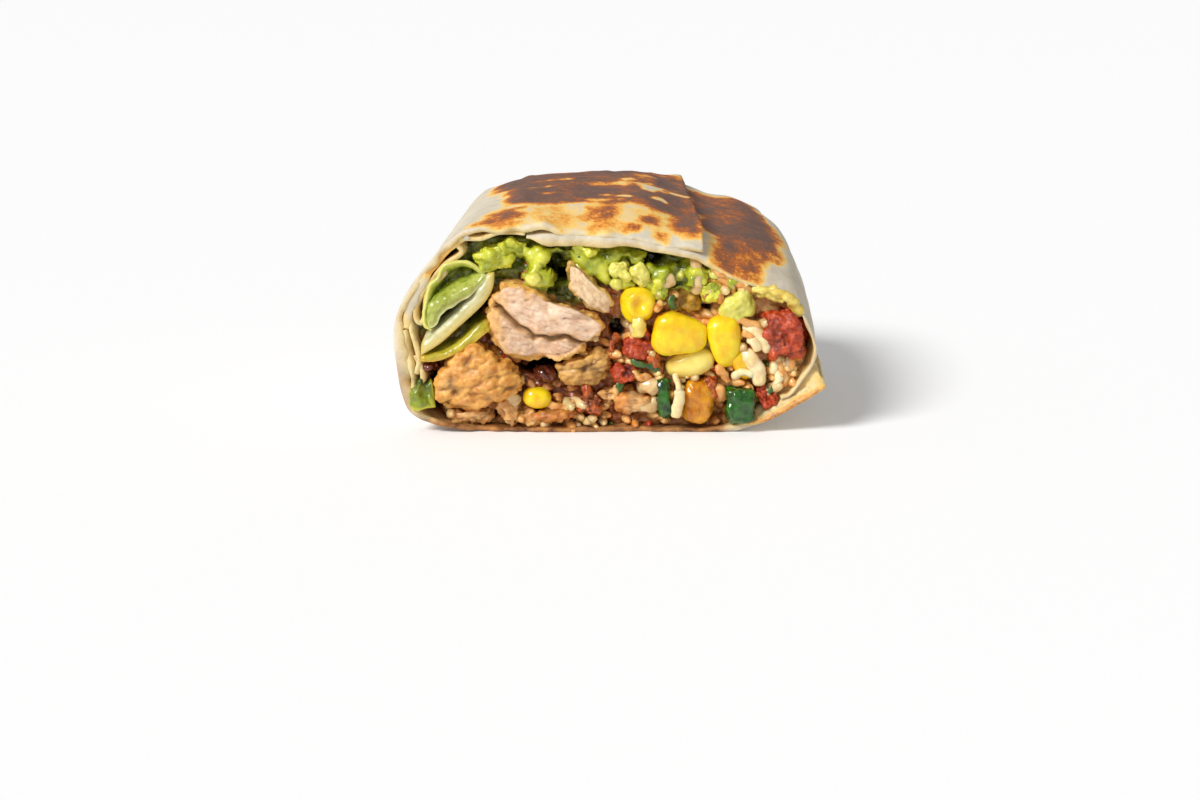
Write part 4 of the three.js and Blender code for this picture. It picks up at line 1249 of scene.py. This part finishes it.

# %% Lettuce leaves
# each leaf's back colours are painted shade deeper behind the cut; its edge colour is also a painted
# highlight at the front
LEAVES = {
    "lettuce_curl": {
        "thickness": 0.6, "seed": 71, "ripple": 0.3,
        "lines": [
            [(-24.2, 0.8, 32), (-26.8, 0.2, 34.2), (-29.6, 0.4, 34.4), (-32.1, 0, 33.6), (-33.4, 0.4, 31.4),
             (-35.1, 0, 29.6), (-35.9, -0.1, 26.5), (-36.2, 0, 23.8), (-36.2, -0.2, 21.6),
             (-34.8, -0.2, 20.6)],
            [(-24.6, 2, 31.4), (-26.8, 2, 33.2), (-29.6, 2.2, 33.2), (-31.8, 2, 32.2), (-33, 2.2, 30.4),
             (-34.2, 2, 28.6), (-34.9, 1.9, 26.2), (-35.2, 2, 23.8), (-35, 1.6, 22), (-34.2, 1.6, 21.4)],
            [(-25, 8, 31.2), (-26.8, 8, 32.6), (-29, 8.4, 32.4), (-31, 8, 31.4), (-32.2, 8, 29.8),
             (-33, 8, 28), (-33.4, 8, 26.2), (-33.6, 8, 24.6), (-33.2, 7.6, 23.4), (-32.6, 7, 22.8)],
            [(-26, 15, 30), (-27.4, 16, 31), (-29, 17, 31), (-30.2, 17, 30), (-31, 17, 28.8),
             (-31.4, 17, 27.6), (-31.6, 17, 26.4), (-31.4, 16, 25.4), (-31, 15, 24.8), (-30.4, 14, 24.6)],
        ],
        "front": ((170, 184, 30), (218, 220, 84)), "back": ((76, 104, 18), (142, 168, 38)),
        "edge": (226, 220, 120), "angle": 40,
    },
    "lettuce_fold": {
        "thickness": 0.5, "seed": 72, "ripple": 0.55,
        "lines": [
            [(-35.2, 0.2, 20.9), (-33.6, -0.2, 22), (-32.9, -0.4, 23.8), (-31.9, -0.6, 24.9),
             (-30.4, -0.6, 25.8), (-28.2, -0.5, 27.1), (-26, -0.2, 28.6), (-24.4, 0.4, 30.4),
             (-23.8, 1, 31.4)],
            [(-35.4, 0.6, 21.6), (-34.6, -0.4, 23.2), (-33.9, -1, 25), (-32.6, -1.2, 26.3), (-31, -1.2, 27.3),
             (-28.8, -1, 28.5), (-26.6, -0.4, 29.8), (-24.9, 0.4, 31), (-24, 1.2, 31.8)],
            [(-35.6, 1.2, 22.6), (-35.4, 0.6, 24.4), (-34.8, 0.4, 26.4), (-33.4, 0.6, 27.8),
             (-31.6, 0.8, 28.8), (-29.4, 1, 29.8), (-27.2, 1.4, 30.8), (-25.4, 1.8, 31.5), (-24.4, 2.2, 32)],
            [(-35.6, 3, 23.4), (-35, 3, 25.6), (-34.2, 3.4, 27.6), (-32.6, 4, 29), (-31, 4.4, 30),
             (-29, 4.6, 30.8), (-27, 4.6, 31.4), (-25.6, 4.4, 31.8), (-24.8, 4, 32.2)],
        ],
        "front": ((162, 168, 52), (212, 212, 118)), "back": ((122, 142, 30), (178, 186, 72)),
        "edge": (236, 230, 170), "angle": 52,
    },
    "lettuce_rib": {
        "thickness": 1, "seed": 74, "ripple": 0.2,
        "lines": [
            [(-22.2, 0.6, 32.4), (-22.5, 0.2, 29.4), (-24, 0, 26.6), (-26.6, -0.2, 23.9), (-29.6, -0.3, 21.2),
             (-33, -0.3, 18.2), (-36.9, 0, 15.6)],
            [(-23.2, 1, 32.2), (-24.4, 0.4, 29.8), (-26.2, 0.3, 27.4), (-28.8, 0.4, 25), (-31.4, 0.6, 22.4),
             (-34.2, 0.7, 19.8), (-36.9, 0.9, 17.8)],
            [(-23.6, 5, 32.6), (-24.8, 5, 30.2), (-26.8, 5, 27.8), (-29.6, 5, 25.2), (-32, 5, 23),
             (-34.2, 4, 21), (-36, 4, 19.6)],
            [(-24, 20, 33), (-25, 20, 31), (-27, 20, 28.6), (-29.6, 20, 26.4), (-31.6, 20, 24.4),
             (-33.4, 20, 22.8), (-34.6, 20, 21.4)],
        ],
        "front": ((190, 184, 132), (228, 224, 188)), "back": ((104, 108, 40), (160, 160, 84)),
        "edge": (222, 190, 84), "angle": 48,
    },
    "lettuce_edge": {
        "thickness": 0.7, "seed": 77, "ripple": 0.34,
        "lines": [
            [(-22.8, 0.6, 20.8), (-24.6, 0, 19.6), (-27, -0.3, 17.6), (-30, -0.5, 16), (-33.6, -0.4, 14.6),
             (-37, -0.2, 14.4)],
            [(-23.4, 1.2, 22.8), (-25.6, 0.8, 21.6), (-28, 0.4, 19), (-31, 0.2, 17), (-34.4, 0.2, 15.8),
             (-36.9, 0.2, 15.4)],
            [(-24, 7, 24), (-26, 7, 23), (-28.4, 7, 21), (-31, 7, 19.4), (-33.6, 7, 18), (-36, 7, 17)],
        ],
        "front": ((168, 152, 24), (218, 198, 62)), "back": ((104, 112, 20), (160, 160, 44)),
        "edge": (214, 168, 36), "angle": 36,
    },
    "lettuce_scrap": {
        "thickness": 0.6, "seed": 79, "ripple": 0.8,
        "lines": [
            [(-39.4, 0.2, 5.4), (-38, -0.6, 4.6), (-36.4, -0.9, 5), (-34.2, 0, 5.2)],
            [(-39.2, -0.2, 7.4), (-37.6, -1.3, 7.4), (-36, -0.4, 7), (-34.4, 0, 7.6)],
            [(-38.4, 0.2, 9.4), (-37.2, -0.2, 10.4), (-36, 0.6, 9.6), (-34.8, 0.8, 9.8)],
            [(-38, 4, 9), (-37, 4, 9.6), (-36, 4, 9.2), (-35, 4, 9.2)],
        ],
        "front": ((84, 118, 10), (196, 200, 36)), "back": ((40, 60, 10), (96, 116, 22)),
        "edge": (206, 200, 50), "angle": 20,
    },
}
for name, shape in LEAVES.items():
    ripple, seed = shape["ripple"], shape["seed"]
    piece = leaf(f"{name}_leaf", shape["lines"], shape["thickness"], ripple=ripple, seed=seed)
    label = name.replace("_", " ").capitalize()
    look = leaf_finish(label, shape["front"], shape["back"], shape["edge"], shape["angle"])
    serve(piece, [name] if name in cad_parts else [], look)

# %% [markdown]
# ## Strips and shreds
# Melted cheese, orange shreds, strips of onion and slivers of herb are all soft strips. Each is a short
# bent line with a flat oval section that narrows to its ends, so one helper makes them all.

# %% A soft strip
def strip_points(path, width, thickness, count=34, around=14, ends=0.35, wobble=0.12, seed=0):
    """Points and faces of a strip along a path; the width lies across the view, the thickness along it."""
    line = smooth_line(path, count)
    along = np.gradient(line, axis=0)
    along /= np.linalg.norm(along, axis=1)[:, None]
    towards = np.tile([0.0, -1.0, 0.0], (count, 1))
    side = np.cross(along, towards)
    side /= np.linalg.norm(side, axis=1)[:, None] + 1e-9
    front = np.cross(side, along)
    s = np.linspace(0, 1, count)
    full = np.minimum(1, np.minimum(s, 1 - s) / 0.16)
    full = ends + (1 - ends) * np.sqrt(1 - (1 - full) ** 2)
    full[[0, -1]] = 0.02
    spin = np.linspace(0, 2 * math.pi, around, endpoint=False)
    sideways = np.cos(spin)[None, :, None] * side[:, None] * width / 2
    forwards = np.sin(spin)[None, :, None] * front[:, None] * thickness / 2
    points = (line[:, None] + (sideways + forwards) * full[:, None, None]).reshape(-1, 3)
    centre = np.repeat(line, around, axis=0)
    points = points + (points - centre) * (wobble * 2 * noise(points, 1.1, seed))[:, None]
    points = np.vstack([points, line[0], line[-1]])
    faces = joined_rows(count, around)
    for k in range(around):
        faces.append([k, (k + 1) % around, count * around])
        last = (count - 1) * around
        faces.append([last + (k + 1) % around, last + k, count * around + 1])
    return points, faces


def strips(name, paths, seed=0, wobble=0.12):
    """Several strips as one piece, each given as (path, width, thickness)."""
    all_points, all_faces, start = [], [], 0
    for k, (path, width, thickness) in enumerate(paths):
        points, faces = strip_points(path, width, thickness, seed=seed + k, wobble=wobble)
        all_points.append(points)
        all_faces += [[v + start for v in face] for face in faces]
        start += len(points)
    return make_piece(name, np.vstack(all_points), all_faces)


print("soft strips ready")

# %% Finishes of the strips
cheese_finish, *_ = moist_finish(
    "Melted cheese", (238, 190, 112), (254, 232, 184), patch=2.4, balance=0.08, grain=0.6, bump=0.15,
    gloss=(0.25, 0.45), depth=0.002, soak=0.4, pits=0.3,
)
yellow_cheese_finish, *_ = moist_finish(
    "Cheese and guacamole", (206, 170, 50), (246, 222, 120), patch=2.0, bump=0.3, gloss=(0.25, 0.5),
    soak=0.4, film=0.1,
)
onion_finish, *_ = moist_finish(
    "Onion", (198, 150, 88), (240, 206, 150), patch=2.6, balance=0.04, bump=0.15, gloss=(0.18, 0.4),
    depth=0.003, soak=0.45, film=0.4, pits=0.3,
)
shreds_finish, *_ = moist_finish(
    "Shreds in sauce", (206, 116, 40), (246, 196, 116), patch=1.8, grain=0.35, bump=0.3, gloss=(0.2, 0.45),
    soak=0.3, film=0.35,
)
herb_finish, *_ = moist_finish(
    "Herb", (30, 62, 20), (84, 120, 42), patch=1.8, grain=0.3, bump=0.3, gloss=(0.25, 0.5), soak=0.15,
)
print("five finishes ready")

# %% Cheese
CHEESE = {
    "cheese_1": [
        ([(13.4, 0.2, 12), (14.2, -1.2, 9.4), (14.2, -1.4, 7)], 1.2, 1.2),
        ([(14.4, -1.2, 9), (14.1, -1.6, 6.4), (13.7, -1.2, 3.2)], 2.3, 1.8),
    ],
    "cheese_2": [
        ([(27.2, 1, 16.6), (28.6, 0.2, 14.6), (30, 0.2, 12.4), (30.4, 0.8, 9.4)], 3.0, 2.6),
        ([(25, 1.4, 10.8), (27, 0.2, 12.2), (29.4, 0.4, 11.4)], 1.7, 1.6),
        ([(33.4, 1.2, 13.6), (34.2, 0.4, 11), (33.4, 0.6, 8.6)], 1.8, 1.6),
        ([(36.4, 1.4, 15.4), (35.6, 0.6, 12.8), (35, 1, 10.4)], 1.7, 1.5),
    ],
    "cheese_3": [
        ([(26.8, 1, 21.4), (29, 0.2, 20.8), (31.2, 0, 18.8), (31.9, 0.4, 16)], 2.1, 1.8),
        ([(28, 0.6, 19.2), (29.2, 0, 18.4), (29.8, 0.6, 16.6)], 2.2, 2),
        ([(33.2, 1, 16), (33.4, 0.4, 13.6), (32.8, 0.8, 11.8)], 1.6, 1.5),
    ],
}
for number, (name, paths) in enumerate(CHEESE.items()):
    serve(strips(f"{name}_strips", paths, 90 + 10 * number), [name], cheese_finish)

# %% Stalk and smear
stalk = strips("corn_stalk", [
    ([(5.2, 0.6, 24.4), (6, -0.4, 22.6), (6.3, -0.4, 21), (6.2, 0.4, 19.5)], 2.4, 2),
], 110, 0.3)
serve(stalk, [], pale_corn_finish)
smear = strips("cheese_smear", [
    ([(28.4, 1, 28.8), (31.2, 0.2, 28.9), (34.4, 0, 27.8), (37, 0.4, 25.6), (38.8, 1, 23.4)], 2, 1.6),
    ([(29.6, 0.8, 27.6), (32.2, 0.4, 27.8), (35, 0.6, 26.4)], 1.4, 1.2),
], 112, 0.4)
serve(smear, [], yellow_cheese_finish)

# %% Orange shreds
shreds = strips("orange_shreds", [
    ([(19.6, 1.6, 34.2), (21.4, 0.8, 32.4), (24, 0.6, 31.2), (26.4, 1, 30.6)], 1.3, 1),
    ([(20.4, 2, 32.6), (22.6, 1, 30.8), (24.4, 1, 29.4), (25.4, 1.6, 27.6)], 1.5, 1.1),
    ([(23, 1.6, 32), (25.4, 0.6, 30), (27.6, 0.8, 29.2), (29.4, 1.6, 28)], 1.3, 1),
    ([(21, 1.2, 29.4), (22.4, 0.8, 27.6), (22.4, 1.4, 25.8)], 1.5, 1.2),
    ([(24.2, 0.6, 22.8), (26.8, 0, 22.6), (29.4, 0.2, 21.8), (31, 0.8, 20)], 1.9, 1.4),
    ([(26.6, 0.8, 20.2), (28.4, 0.1, 19.2), (29.8, 0.6, 17.2)], 1.8, 1.4),
    ([(21.6, 1, 13.4), (23, 0.4, 12), (24.2, 0.8, 10)], 1.7, 1.3),
    ([(20.8, 1.4, 9.8), (22.4, 0.6, 8.4), (23, 1, 6.2)], 2.0, 1.5),
    ([(33, 1, 16.6), (34.2, 0.3, 14), (35.4, 0.6, 11.2), (35.2, 1.4, 9)], 1.5, 1.3),
    ([(36.8, 1.4, 16.2), (36.6, 0.6, 13.8), (36, 1, 11.4)], 1.4, 1.2),
    ([(4.6, 1, 12), (6.6, 0.4, 11.2), (9, 0.8, 10.8)], 1.7, 1.4),
    ([(-12.6, 1, 6.4), (-10.4, 0.4, 5), (-8.2, 0.6, 4.8), (-6.4, 1.2, 6)], 1.6, 1.3),
], 170, 0.25)
serve(shreds, [], shreds_finish)

# %% Onion and herbs
onion = strips("onion_strips", [
    ([(17.4, 2.4, 36), (17.6, 0.8, 33), (17.9, 0.8, 30), (17.4, 1.6, 27.6)], 2.2, 1.6),
    ([(6.2, 2, 8.6), (8.6, 0.6, 9.4), (10.4, 0.8, 8.2)], 3.0, 2.2),
    ([(3.4, 1.6, 4.2), (6, 0.4, 5.4), (8.8, 0.4, 5.2), (10.2, 1.2, 7)], 2.4, 2.0),
    ([(-21.4, 1.6, 8), (-19.4, 0.8, 7.2), (-17.8, 1.2, 5.4)], 2.6, 2.0),
    ([(9.2, 1.6, 31.4), (11.4, 0.6, 30.4), (13.4, 1, 31)], 2.6, 2.0),
], 130)
serve(onion, [], onion_finish)
herbs = strips("herb_slivers", [
    ([(4.6, 0.6, 14.6), (6.6, -0.2, 13.8), (8.8, -0.2, 13.4), (10.6, 0.6, 12.4)], 1.2, 0.5),
    ([(2.8, 0.8, 10.4), (2.4, 0.2, 8.8), (2.9, 0.6, 7.4)], 1.3, 0.5),
    ([(33.4, 0.6, 9.4), (32.6, 0, 8.4), (32.2, 0.6, 7.4)], 0.9, 0.4),
    ([(-2.8, 0.8, 28.8), (-4.4, 0.2, 28.2), (-5.4, 0.8, 27)], 1.4, 0.5),
    ([(13.6, 1, 24.6), (12.6, 0.2, 26), (13, 0.6, 27.8)], 1.2, 0.5),
], 150, 0.3)
serve(herbs, [], herb_finish)

# %% [markdown]
# ## Rice and crumbs
# Grains of cooked rice lie everywhere in the mash, thickest at the right and along the base, and between
# them are crumbs of meat, scraps of tomato skin and chopped herb. They repeat, so Geometry Nodes lay them.
# Points are spread where a painted layer allows it, and a grain is set on each, turned and sized at random.
# A last step pushes the points of the realized grains about with a noise, so that no two look alike.

# %% Where the grains lie
FIELDS = {
    # middle x and z, half width and height, share of grains
    "rice": [
        (32, 13.5, 7.5, 8.5, 1.0), (25, 28, 6, 3, 0.8), (-4, 3.6, 17, 2.8, 0.9), (18, 9.5, 10, 4, 0.8),
        (3, 16, 7, 5, 0.6), (22, 22.5, 4, 3, 0.6), (-30, 3.4, 6, 1.6, 0.7), (12, 26, 4, 3, 0.4),
    ],
    "crumbs": [
        (-8, 12, 9, 6, 1.0), (-28, 4, 8, 3, 1.0), (-3, 4, 16, 3, 0.8), (24, 28.6, 6, 3, 1.0),
        (8, 14, 10, 5, 0.6), (-14, 23, 6, 12, 0.5), (30, 14, 9, 9, 0.4), (20, 4, 14, 3, 0.6),
        (-36, 13, 3, 3, 1.0),
    ],
}


def paint_fields(piece, deepest):
    """Paints where grains may lie: on what faces the cut, down to a depth in millimetres."""
    points, outward = read(piece)
    at_cut = (points[:, 1] < deepest) * (outward[:, 1] < -0.1)
    upset = 0.3 * noise(points, 4, 95)
    for layer, fields in FIELDS.items():
        share = np.zeros(len(points))
        for *oval, amount in fields:
            near = off_middle(points, *oval) + upset
            share = np.maximum(share, amount * (1 - step_between(0.8, 1.15, near)))
        paint(piece, layer, share * at_cut)
    paint(piece, "all_over", at_cut * step_between(-29, -26, points[:, 0]))


paint_fields(filling, 7.5)
paint_fields(guacamole, 9)
print("ovals of grains", {layer: len(fields) for layer, fields in FIELDS.items()})

# %% Scatter for grains and crumbs
def scatter_tree():
    tree = bpy.data.node_groups.new("Scatter grains", "GeometryNodeTree")
    face = tree.interface
    face.new_socket("Geometry", in_out="INPUT", socket_type="NodeSocketGeometry")
    for label, kind, value in (
        ("Field", "NodeSocketString", "rice"), ("Grains per square metre", "NodeSocketFloat", 160000.0),
        ("Grain length", "NodeSocketFloat", 0.006), ("Grain width", "NodeSocketFloat", 0.002),
        ("Lift", "NodeSocketFloat", 0.0004), ("Unevenness", "NodeSocketFloat", 0.0006),
        ("Seed", "NodeSocketInt", 4), ("Finish", "NodeSocketMaterial", None),
    ):
        socket = face.new_socket(label, in_out="INPUT", socket_type=kind)
        if value is not None:
            socket.default_value = value
    face.new_socket("Geometry", in_out="OUTPUT", socket_type="NodeSocketGeometry")
    node = tree.nodes.new
    given, result = node("NodeGroupInput"), node("NodeGroupOutput")

    # points where the painted layer allows them
    allowed = node("GeometryNodeInputNamedAttribute")
    allowed.data_type = "FLOAT"
    amount = node("ShaderNodeMath")
    amount.operation = "MULTIPLY"
    spread = node("GeometryNodeDistributePointsOnFaces")
    link(
        tree, (given.outputs["Field"], allowed.inputs["Name"]),
        (given.outputs["Geometry"], spread.inputs["Mesh"]), (given.outputs["Seed"], spread.inputs["Seed"]),
        (given.outputs["Grains per square metre"], amount.inputs[0]), (allowed.outputs[0], amount.inputs[1]),
        (amount.outputs[0], spread.inputs["Density"]),
    )

    # one grain
    ball = node("GeometryNodeMeshUVSphere")
    ball.inputs["Segments"].default_value = 9
    ball.inputs["Rings"].default_value = 8
    ball.inputs["Radius"].default_value = 0.5
    size = node("ShaderNodeCombineXYZ")
    shaped = node("GeometryNodeTransform")
    link(
        tree,
        (given.outputs["Grain width"], size.inputs["X"]),
        (given.outputs["Grain width"], size.inputs["Y"]),
        (given.outputs["Grain length"], size.inputs["Z"]),
        (size.outputs[0], shaped.inputs["Scale"]),
        (ball.outputs["Mesh"], shaped.inputs["Geometry"]),
    )

    # a grain on each point, lifted off the ground, turned and sized at random
    lying = node("FunctionNodeRandomValue")
    lying.data_type = "FLOAT_VECTOR"
    lying.inputs["Min"].default_value = (1.1, 0.0, 0.0)
    lying.inputs["Max"].default_value = (2.0, 6.28, 0.7)
    scale = node("FunctionNodeRandomValue")
    scale.inputs[2].default_value, scale.inputs[3].default_value = 0.7, 1.2
    forward = node("ShaderNodeCombineXYZ")
    minus = node("ShaderNodeMath")
    minus.operation = "MULTIPLY"
    minus.inputs[1].default_value = -1
    lifted = node("GeometryNodeSetPosition")
    on_points = node("GeometryNodeInstanceOnPoints")
    link(
        tree, (spread.outputs["Points"], lifted.inputs["Geometry"]), (given.outputs["Lift"], minus.inputs[0]),
        (minus.outputs[0], forward.inputs["Y"]), (forward.outputs[0], lifted.inputs["Offset"]),
        (lifted.outputs[0], on_points.inputs["Points"]), (shaped.outputs[0], on_points.inputs["Instance"]),
        (given.outputs["Seed"], lying.inputs["Seed"]), (given.outputs["Seed"], scale.inputs["Seed"]),
        (lying.outputs[0], on_points.inputs["Rotation"]), (scale.outputs[1], on_points.inputs["Scale"]),
    )

    # a plain mesh, pushed about by a noise, with its finish
    loose = node("GeometryNodeRealizeInstances")
    uneven_shape = node("ShaderNodeTexNoise")
    uneven_shape.inputs["Scale"].default_value = 700
    centred = node("ShaderNodeVectorMath")
    centred.operation = "SUBTRACT"
    centred.inputs[1].default_value = (0.5, 0.5, 0.5)
    pushed = node("ShaderNodeVectorMath")
    pushed.operation = "SCALE"
    moved = node("GeometryNodeSetPosition")
    smooth = node("GeometryNodeSetShadeSmooth")
    colored = node("GeometryNodeSetMaterial")
    link(
        tree, (on_points.outputs[0], loose.inputs[0]), (loose.outputs[0], moved.inputs["Geometry"]),
        (uneven_shape.outputs["Color"], centred.inputs[0]), (centred.outputs[0], pushed.inputs[0]),
        (given.outputs["Unevenness"], pushed.inputs["Scale"]), (pushed.outputs[0], moved.inputs["Offset"]),
        (moved.outputs[0], smooth.inputs[0]), (smooth.outputs[0], colored.inputs["Geometry"]),
        (given.outputs["Finish"], colored.inputs["Material"]), (colored.outputs[0], result.inputs[0]),
    )
    return tree


grain_scatter = scatter_tree()
print("scatter inputs", [item.name for item in grain_scatter.interface.items_tree])


# %% Grains and crumbs
def scattered(name, ground, slot, finish, **inputs):
    """A plain mesh of grains that lie on the ground piece."""
    carrier = into_scene("carrier", ground.data.copy())
    scatter = carrier.modifiers.new("grains", "NODES")
    scatter.node_group = grain_scatter
    wanted = {label.replace("_", " "): value for label, value in inputs.items()} | {"Finish": finish}
    for item in grain_scatter.interface.items_tree:
        if item.in_out == "INPUT" and item.name in wanted:
            scatter[item.identifier] = wanted[item.name]
    seen = carrier.evaluated_get(bpy.context.evaluated_depsgraph_get())
    grains = into_scene(name, bpy.data.meshes.new_from_object(seen))
    bpy.data.objects.remove(carrier)
    serve(grains, [], finish)


rice_finish, *_ = moist_finish(
    "Rice in sauce", (222, 132, 44), (253, 214, 140), patch=2.0, balance=0.02, bump=0.12,
    gloss=(0.2, 0.42), soak=0.3, film=0.4, pits=0.3,
)
crumb_finish, *_ = moist_finish(
    "Crumbs", (140, 74, 28), (226, 158, 84), patch=1.6, grain=0.35, bump=0.4, film=0.2,
)
SCATTERED = [
    # name, ground, slot, finish, layer, grains per square metre, length, width, lift, unevenness, seed
    ("rice_grains", filling, "rice", rice_finish, "rice", 160000, 0.006, 0.002, 0.0004, 0.0006, 4),
    ("rice_grains_pale", filling, "rice", onion_finish, "rice", 60000, 0.0056, 0.0022, 0.0008, 0.0006, 9),
    ("meat_crumbs", filling, "chicken", crumb_finish, "crumbs", 120000, 0.0036, 0.002, 0.0002, 0.0026, 12),
    ("tomato_scraps", filling, "tomato", tomato_finish, "all_over", 7000, 0.0036, 0.002, 0.0001, 0.0022, 15),
    ("herb_flecks", filling, "lettuce", herb_finish, "all_over", 12000, 0.0024, 0.0008, 0.0008, 0.0008, 18),
    (
        "avocado_crumbs", guacamole, "avocado", avocado_finish, "all_over", 15000, 0.0032, 0.0024, -0.0002,
        0.0014, 21,
    ),
]
for name, ground, slot, finish, layer, share, length, width, lift, unevenness, seed in SCATTERED:
    scattered(
        name, ground, slot, finish, Field=layer, Grains_per_square_metre=float(share), Grain_length=length,
        Grain_width=width, Lift=lift, Unevenness=unevenness, Seed=seed,
    )

# %% [markdown]
# ## Studio
# The food lies on a plain white table. One soft light comes from the upper left, and even light from all
# round fills its shadows. The camera stands in front, a little above, and far enough back that the cut face
# keeps its shape.

# %% Table and light
TABLE_HALF = 3.0
corners = [(x * TABLE_HALF, y * TABLE_HALF, 0) for x, y in ((-1, -1), (1, -1), (1, 1), (-1, 1))]
table = bpy.data.meshes.new("table")
table.from_pydata(corners, [], [(0, 1, 2, 3)])
table_top = into_scene("table", table)
white = bpy.data.materials.new("White table")
white.use_nodes = True
white_shader = white.node_tree.nodes["Principled BSDF"]
white_shader.inputs["Base Color"].default_value = rgb(252, 252, 252)
white_shader.inputs["Roughness"].default_value = 0.9
white_shader.inputs["Emission Color"].default_value = rgb(255, 255, 255)
white_shader.inputs["Emission Strength"].default_value = 0.06
table.materials.append(white)

LIGHT_ALL_ROUND = 0.38
KEY_FROM = (-0.9, -0.78, 1.0)
KEY_STRENGTH = 2.85
KEY_SPREAD = 22
world = bpy.data.worlds.new("studio")
bpy.context.scene.world = world
world.use_nodes = True
sky = world.node_tree.nodes["Background"]
sky.inputs["Color"].default_value = (1, 1, 1, 1)
sky.inputs["Strength"].default_value = LIGHT_ALL_ROUND
bpy.context.scene.view_settings.view_transform = "Standard"


def distant_light(name, from_where, strength, spread):
    """Even light from one direction; `spread` in degrees makes its shadows soft."""
    lamp = bpy.data.lights.new(name, "SUN")
    lamp.energy = strength
    lamp.angle = math.radians(spread)
    holder = into_scene(name, lamp)
    holder.location = from_where
    holder.rotation_euler = (-Vector(from_where)).to_track_quat("-Z", "Y").to_euler()


distant_light("key", KEY_FROM, KEY_STRENGTH, KEY_SPREAD)

# %% Camera
ELEVATION = math.radians(13)
DISTANCE = 0.450
PIXELS_PER_METRE = 5000.0
PHOTO_WIDTH, PHOTO_MIDDLE = 1200, (600, 400)
FACE_BASE_PIXEL = (607, 432)
lens = bpy.data.cameras.new("camera")
lens.sensor_width = 36
lens.lens = lens.sensor_width * DISTANCE * PIXELS_PER_METRE / PHOTO_WIDTH
camera = into_scene("camera", lens)
looking = Vector((0, math.cos(ELEVATION), -math.sin(ELEVATION)))
right = Vector((1, 0, 0))
up = right.cross(looking)
aim = (Vector(FACE) + up * (FACE_BASE_PIXEL[1] - PHOTO_MIDDLE[1]) / PIXELS_PER_METRE
       - right * (FACE_BASE_PIXEL[0] - PHOTO_MIDDLE[0]) / PIXELS_PER_METRE)
camera.location = aim - looking * DISTANCE
camera.rotation_euler = looking.to_track_quat("-Z", "Y").to_euler()
bpy.context.scene.camera = camera
print("camera", tuple(round(v, 3) for v in camera.location), "lens", round(lens.lens, 1))

# %% The end
bpy.context.view_layer.update()
